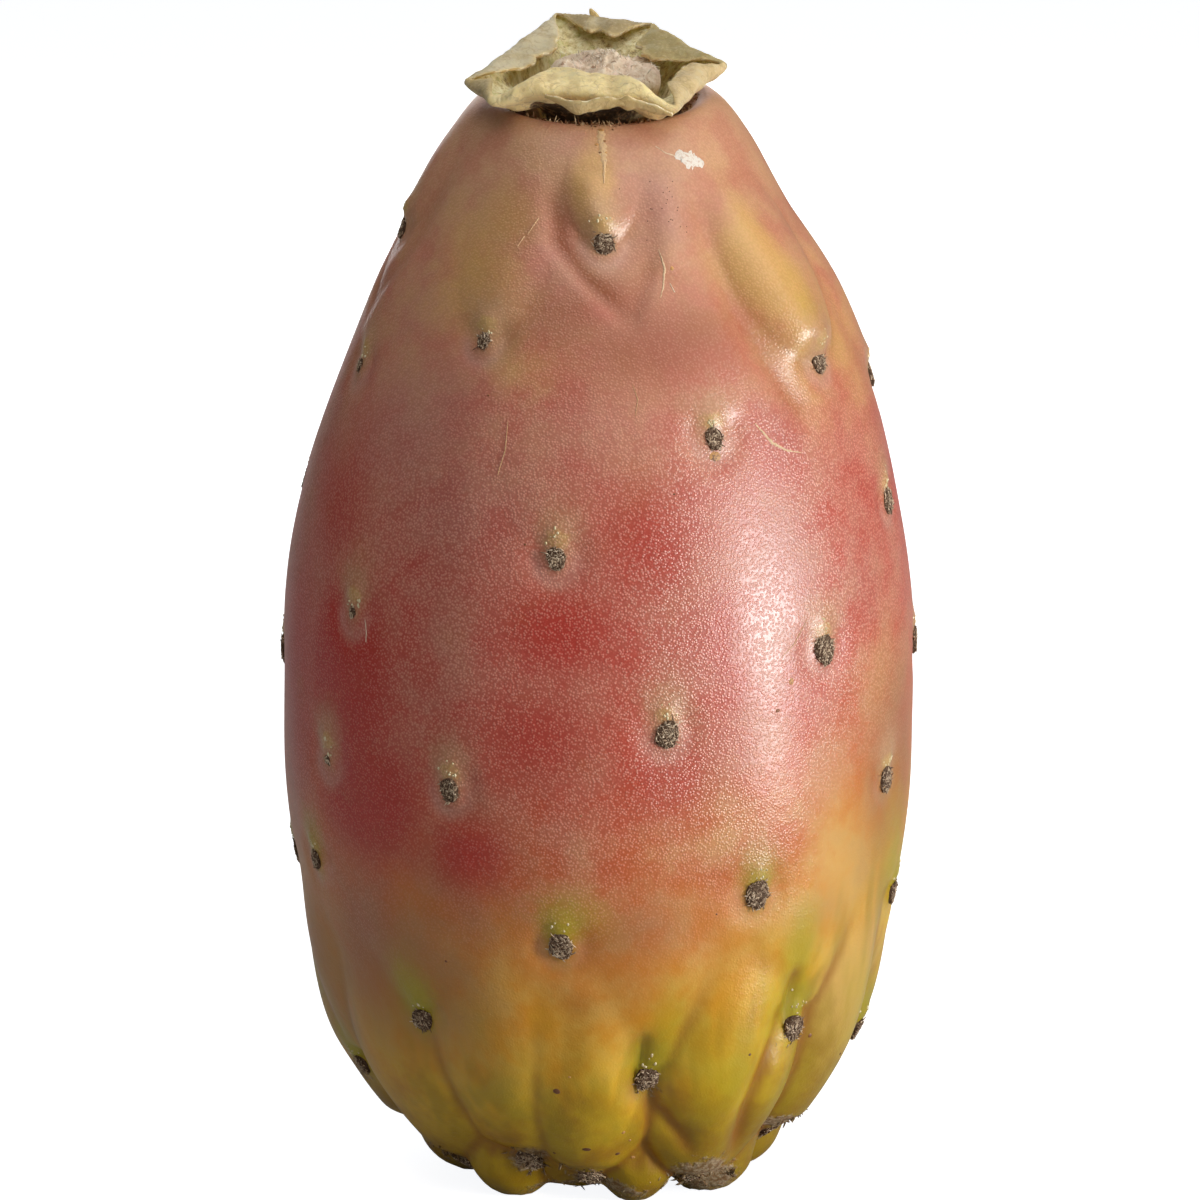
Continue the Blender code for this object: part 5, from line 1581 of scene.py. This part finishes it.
# painted crease shade: thin brown lines where the dried skin is crumpled
folded = n.sum("ABSOLUTE", n.sum("SUBTRACT", n.noise(at, 0.75, detail=2.0, rough=0.55), 0.5))
wrinkle_shade = n.sum("SUBTRACT", 1.0, n.step(folded, 0.0, 0.030))
tone = n.lay(tone, wrinkle_shade, 0.30, WRINKLE_SHADE)
feed(n, outside_shader, Base_Color=tone, Roughness=0.62, Specular_IOR_Level=0.40, **THIN_SKIN,
     Normal=roughened(n, at, 2.0, 0.55, 0.00022))
print("outside:", len(outside_material.node_tree.nodes), "nodes")

# %% [markdown]
# Inside, the collar is a mat of straw and olive fibres, made by a noise stretched lengthwise, with tones
# raised towards white as painted light in the shaded cup. The torn edge is the palest. Light passes a
# little way into both sides, because the dried skin is thin.

# %% Collar finishes: inside and torn edge
# the fibres' tones, made bright as painted light in the shaded cup
STRAND_TONES_AND_PAINTED_LIGHT = ((0.32, (0.300, 0.200, 0.085)), (0.48, (0.800, 0.680, 0.360)), (0.62, (1.0, 0.920, 0.640)))
MOSS_OLIVE, EDGE_TAN, EDGE_PALE = (0.520, 0.510, 0.140), (0.66, 0.460, 0.200), (0.92, 0.800, 0.540)

inside_material, n, inside_shader = new_material("fibrous inside")
at = n.millimetres()
strands = n.noise(at, 1.9, detail=5.0, rough=0.75, stretch=(1.0, 1.0, 0.35))
tone = n.ramp(strands, STRAND_TONES_AND_PAINTED_LIGHT)
tone = n.lay(tone, n.blotches(at, 0.8, 0.50, 0.66), 0.45, MOSS_OLIVE)
feed(n, inside_shader, Base_Color=tone, Roughness=0.9, Specular_IOR_Level=0.2, **THIN_SKIN,
     Normal=roughened(n, at, 4.5, 0.7, 0.00013))

edge_material, n, edge_shader = new_material("torn edge")
at = n.millimetres()
tone = n.blend(n.blotches(at, 2.0, 0.40, 0.62), EDGE_TAN, EDGE_PALE)
feed(n, edge_shader, Base_Color=tone, Roughness=0.85)
for mat in (outside_material, inside_material, edge_material):
    collar.data.materials.append(mat)
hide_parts("stem_collar")
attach(collar, "root")
print("collar finishes:", [m.name for m in collar.data.materials])

# %% [markdown]
# The front of the collar is torn: a strip has split off under the fold and hangs as a thin lip, and one
# flake stands up at the back. Both are small ribbons with a thickness of their own.


# %% Torn lip and flake
def ribbon(name, middle, across_way, halves, thickness=0.00016):
    """A thin strip along a line of points, with its width along the given directions."""
    fine = curve_through(middle, 0.00018)
    share = np.linspace(0.0, 1.0, len(fine))
    given_at = np.linspace(0.0, 1.0, len(middle))
    half = np.interp(share, given_at, halves) * (1.0 + 0.45 * waves(fine, 0.0009, 51))
    ways = np.column_stack([np.interp(share, given_at, np.array(across_way, float)[:, k]) for k in range(3)])
    ways /= np.linalg.norm(ways, axis=1)[:, None]
    points = np.concatenate([fine + ways * (half * reach)[:, None] for reach in (-1.0, -0.4, 0.3, 1.0)])
    count = len(fine)
    faces = [(k * count + i, k * count + i + 1, (k + 1) * count + i + 1, (k + 1) * count + i)
             for k in range(3) for i in range(count - 1)]
    strip = new_object(name, points @ seat_turn.T + seat_move, faces)
    thick = strip.modifiers.new("sheet", "SOLIDIFY")
    thick.thickness, thick.offset, thick.material_offset_rim = thickness, 0.0, 1
    return strip


LIP = (
    (-0.0036, -0.0086, 0.0004), (-0.0026, -0.0091, 0.0002), (-0.0013, -0.0096, -0.0002),
    (0.0007, -0.0098, 0.0002), (0.0024, -0.0101, 0.0003), (0.0042, -0.0105, 0.0),
    (0.0057, -0.0108, -0.0004),
)
LIP_WIDTH = (0.00010, 0.00040, 0.00060, 0.00052, 0.00050, 0.00040, 0.00010)
FLAKE = ((0.0004, 0.0096, 0.0002), (0.0002, 0.0099, 0.0010), (-0.0003, 0.0101, 0.0019))
FLAKE_WIDTH = (0.00080, 0.00050, 0.00007)
lip = ribbon("torn_lip", LIP, [(0.0, -0.35, 1.0)] * len(LIP), LIP_WIDTH)
flake = ribbon("torn_flake", FLAKE, [(1.0, -0.2, 0.0)] * len(FLAKE), FLAKE_WIDTH)
for piece in (lip, flake):
    piece.data.materials.append(outside_material)
    piece.data.materials.append(edge_material)
    for mask_name, value in (("panel", 5.0), ("open_edge", 0.9), ("tear", 0.0)):
        set_mask(piece, mask_name, [value] * len(piece.data.vertices))
    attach(piece, "root")
print("lip and flake:", len(lip.data.polygons) + len(flake.data.polygons), "faces")

# %% [markdown]
# ## The pith
# The whitish plug inside the collar is the cut core of the joint, dried to a fibrous dome. Its lumps
# are in the mesh, and a coat of short pale fibres lies on it.

# %% The pith's dome
PITH_CENTRE, GAP = (0.0006, 0.0), 0.0003
PITH_OUTLINE = (
    (0.0, 0.0034), (0.0020, 0.0033), (0.0035, 0.0028), (0.0042, 0.0019), (0.0039, 0.0008),
    (0.0034, 0.0001), (0.0026, 0.0), (0.0, 0.0),
)
PITH_WIDTH = 0.004
PITH_LUMPS = ((0.00018, 3, 0.7, 0.0), (0.00012, 7, 0.0, 9.0))
PITH_WAVES, PITH_WAVE = ((1700, 0, 1.1), (0, 2100, 1.6), (1300, 1300, 0.0)), 0.00022
PITH_STEPS = 120
CRUMBS = ((0.00013, 0.0011, 31), (0.00008, 0.0005, 32))      # (size, length, seed)
pith_rows = curve_through(PITH_OUTLINE, 0.00012)
around = np.tile(np.arange(PITH_STEPS) * math.tau / PITH_STEPS, len(pith_rows) - 2)
radius, height = (np.repeat(pith_rows[1:-1, k], PITH_STEPS) for k in range(2))
out_share = radius / PITH_WIDTH
lumpy = radius + out_share * sum(
    lump * np.sin(number * around + phase + twist * out_share) for lump, number, phase, twist in PITH_LUMPS
)
x, y = lumpy * np.cos(around), lumpy * np.sin(around)
swell = sum(np.sin(along_x * x + along_y * y + phase) for along_x, along_y, phase in PITH_WAVES)
pith_points = np.column_stack([x, y, height + PITH_WAVE * swell * ease(height, 0.0008, 0.0024)])
top_point = np.array([[0.0, 0.0, float(pith_points[:PITH_STEPS, 2].mean())]])
pith_points = np.vstack([top_point, pith_points, [[0.0, 0.0, float(pith_rows[-1, 1])]]])
crumb = sum(size * waves(pith_points, length, seed) for size, length, seed in CRUMBS)
pith_points[:, 2] += crumb * ease(pith_points[:, 2], 0.0006, 0.0020)
pith_foot = NECK_FOOT + WALL + GAP
pith_seat = collar_seat @ Matrix.Translation((*PITH_CENTRE, pith_foot))
pith_turn, pith_move = np.array(pith_seat.to_3x3()), np.array(pith_seat.translation)
pith = new_object(
    "pith_plug", pith_points @ pith_turn.T + pith_move,
    grid_faces(len(pith_rows) - 2, PITH_STEPS, top=True, bottom=True),
)
print("pith:", len(pith.data.polygons), "faces")

# %% [markdown]
# The fibres are short hairs that lie nearly flat on the upper side of the dome, each in its own
# direction.

# %% Fibres on the pith
PITH_FIBRES = 700
FIBRE_LENGTH, FIBRE_RADIUS = (0.0002, 0.0006), (0.000025, 0.000050)
FACING_UP, FIBRE_SUNK = 0.25, 0.00005

rng = np.random.default_rng(SEED + 3)
upper = [v for v in pith.data.vertices if v.normal.z > FACING_UP]
picked = rng.choice(len(upper), PITH_FIBRES)
root = np.array([upper[i].co for i in picked])
facing = np.array([upper[i].normal for i in picked])
fibres = grow_hairs(
    "pith_fibres", root - facing * FIBRE_SUNK, facing * 0.10 + rng.normal(size=root.shape) * 0.55,
    rng.normal(size=root.shape) * 0.3 - facing * 0.2, rng.uniform(*FIBRE_LENGTH, len(root)),
    rng.uniform(*FIBRE_RADIUS, len(root)), rng.uniform(0.3, 1.0, len(root)),
)
print("pith fibres:", len(root))

# %% [markdown]
# Dried pith is pale and quite dull, pinkish in places, with small brown pits. Its fibres are paler.

# %% Pith finishes
PITH_TONES = ((0.30, (0.54, 0.350, 0.220)), (0.46, (0.76, 0.590, 0.420)), (0.66, (0.86, 0.740, 0.580)))
PITH_PINK, PIT_BROWN = (0.84, 0.580, 0.480), (0.30, 0.160, 0.080)
FIBRE_TONES = ((0.0, (0.60, 0.430, 0.280)), (0.6, (0.86, 0.740, 0.580)), (1.0, (0.94, 0.880, 0.780)))

pith_material, n, pith_shader = new_material("dried pith")
at = n.millimetres()
tone = n.ramp(n.noise(at, 2.4, detail=5.0, rough=0.7), PITH_TONES)
tone = n.lay(tone, n.blotches(at, 0.6, 0.45, 0.65, detail=2.0), 0.35, PITH_PINK)
tone = n.lay(tone, n.blotches(at, 1.3, 0.36, 0.26, detail=2.0, rough=0.6), 0.80, PIT_BROWN)
feed(n, pith_shader, Base_Color=tone, Roughness=0.95, Specular_IOR_Level=0.2,
     Normal=roughened(n, at, 5.0, 0.6, 0.00010))
fibre_material = toned_material("pith fibre", FIBRE_TONES, 0.9, 0.2)
pith.data.materials.append(pith_material)
fibres.data.materials.append(fibre_material)
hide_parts("stem_pith")
for piece in (pith, fibres):
    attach(piece, "root")
print("pith material:", len(pith_material.node_tree.nodes), "nodes")

# %% [markdown]
# ## Under the collar
# Where the neck meets the fruit there is a ring of torn, dark fibres. It is seen as a shadowy fringe
# below the collar's front.

# %% Fibres round the neck
NECK_FIBRES, FRONT_SHARE = 2600, 0.62
FRONT_WAY, FRONT_SPREAD = -0.5 * math.pi, 0.42
RING_INNER, RING_WIDE, RING_WIDER = 0.0058, 0.0019, 0.0008       # the ring is wider at the front
NECK_LENGTH, NECK_THICKNESS = (0.00016, 0.00040), (0.000040, 0.000090)
ABOVE_NECK, NECK_SUNK = 0.0900, 0.00008
NECK_TONES = ((0.0, (0.120, 0.045, 0.022)), (0.5, (0.400, 0.200, 0.090)), (1.0, (0.780, 0.580, 0.340)))

rng = np.random.default_rng(SEED + 4)
count = NECK_FIBRES
at_front = rng.random(count) < FRONT_SHARE
way = np.where(at_front, rng.normal(FRONT_WAY, FRONT_SPREAD, count), rng.uniform(0.0, math.tau, count))
ring_width = RING_WIDE + RING_WIDER * np.exp(-((way - FRONT_WAY) / 0.5) ** 2)
spread = RING_INNER + rng.beta(1.6, 2.0, count) * ring_width
root = []
for a, r in zip(way, spread):
    start = Vector((r * math.cos(a), r * math.sin(a), ABOVE_NECK))
    hit = skin_tree.ray_cast(start, Vector((0.0, 0.0, -1.0)))[0]
    root.append(hit if hit is not None else start)
root = np.array(root) - np.array([0.0, 0.0, NECK_SUNK])
lean = np.column_stack([np.cos(way), np.sin(way), np.zeros(count)])
ways = lean * rng.uniform(-0.3, 0.9, (count, 1)) + rng.normal(size=(count, 3)) * 0.6 + [0.0, 0.0, 0.25]
neck_fibres = grow_hairs(
    "neck_fibres", root, ways, rng.normal(size=(count, 3)) * 0.6, rng.uniform(*NECK_LENGTH, count),
    rng.uniform(*NECK_THICKNESS, count), rng.beta(1.0, 1.0, count),
)
neck_fibres.data.materials.append(toned_material("neck fibre", NECK_TONES, 0.85, 0.25))
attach(neck_fibres, "root")
print("neck fibres:", count)
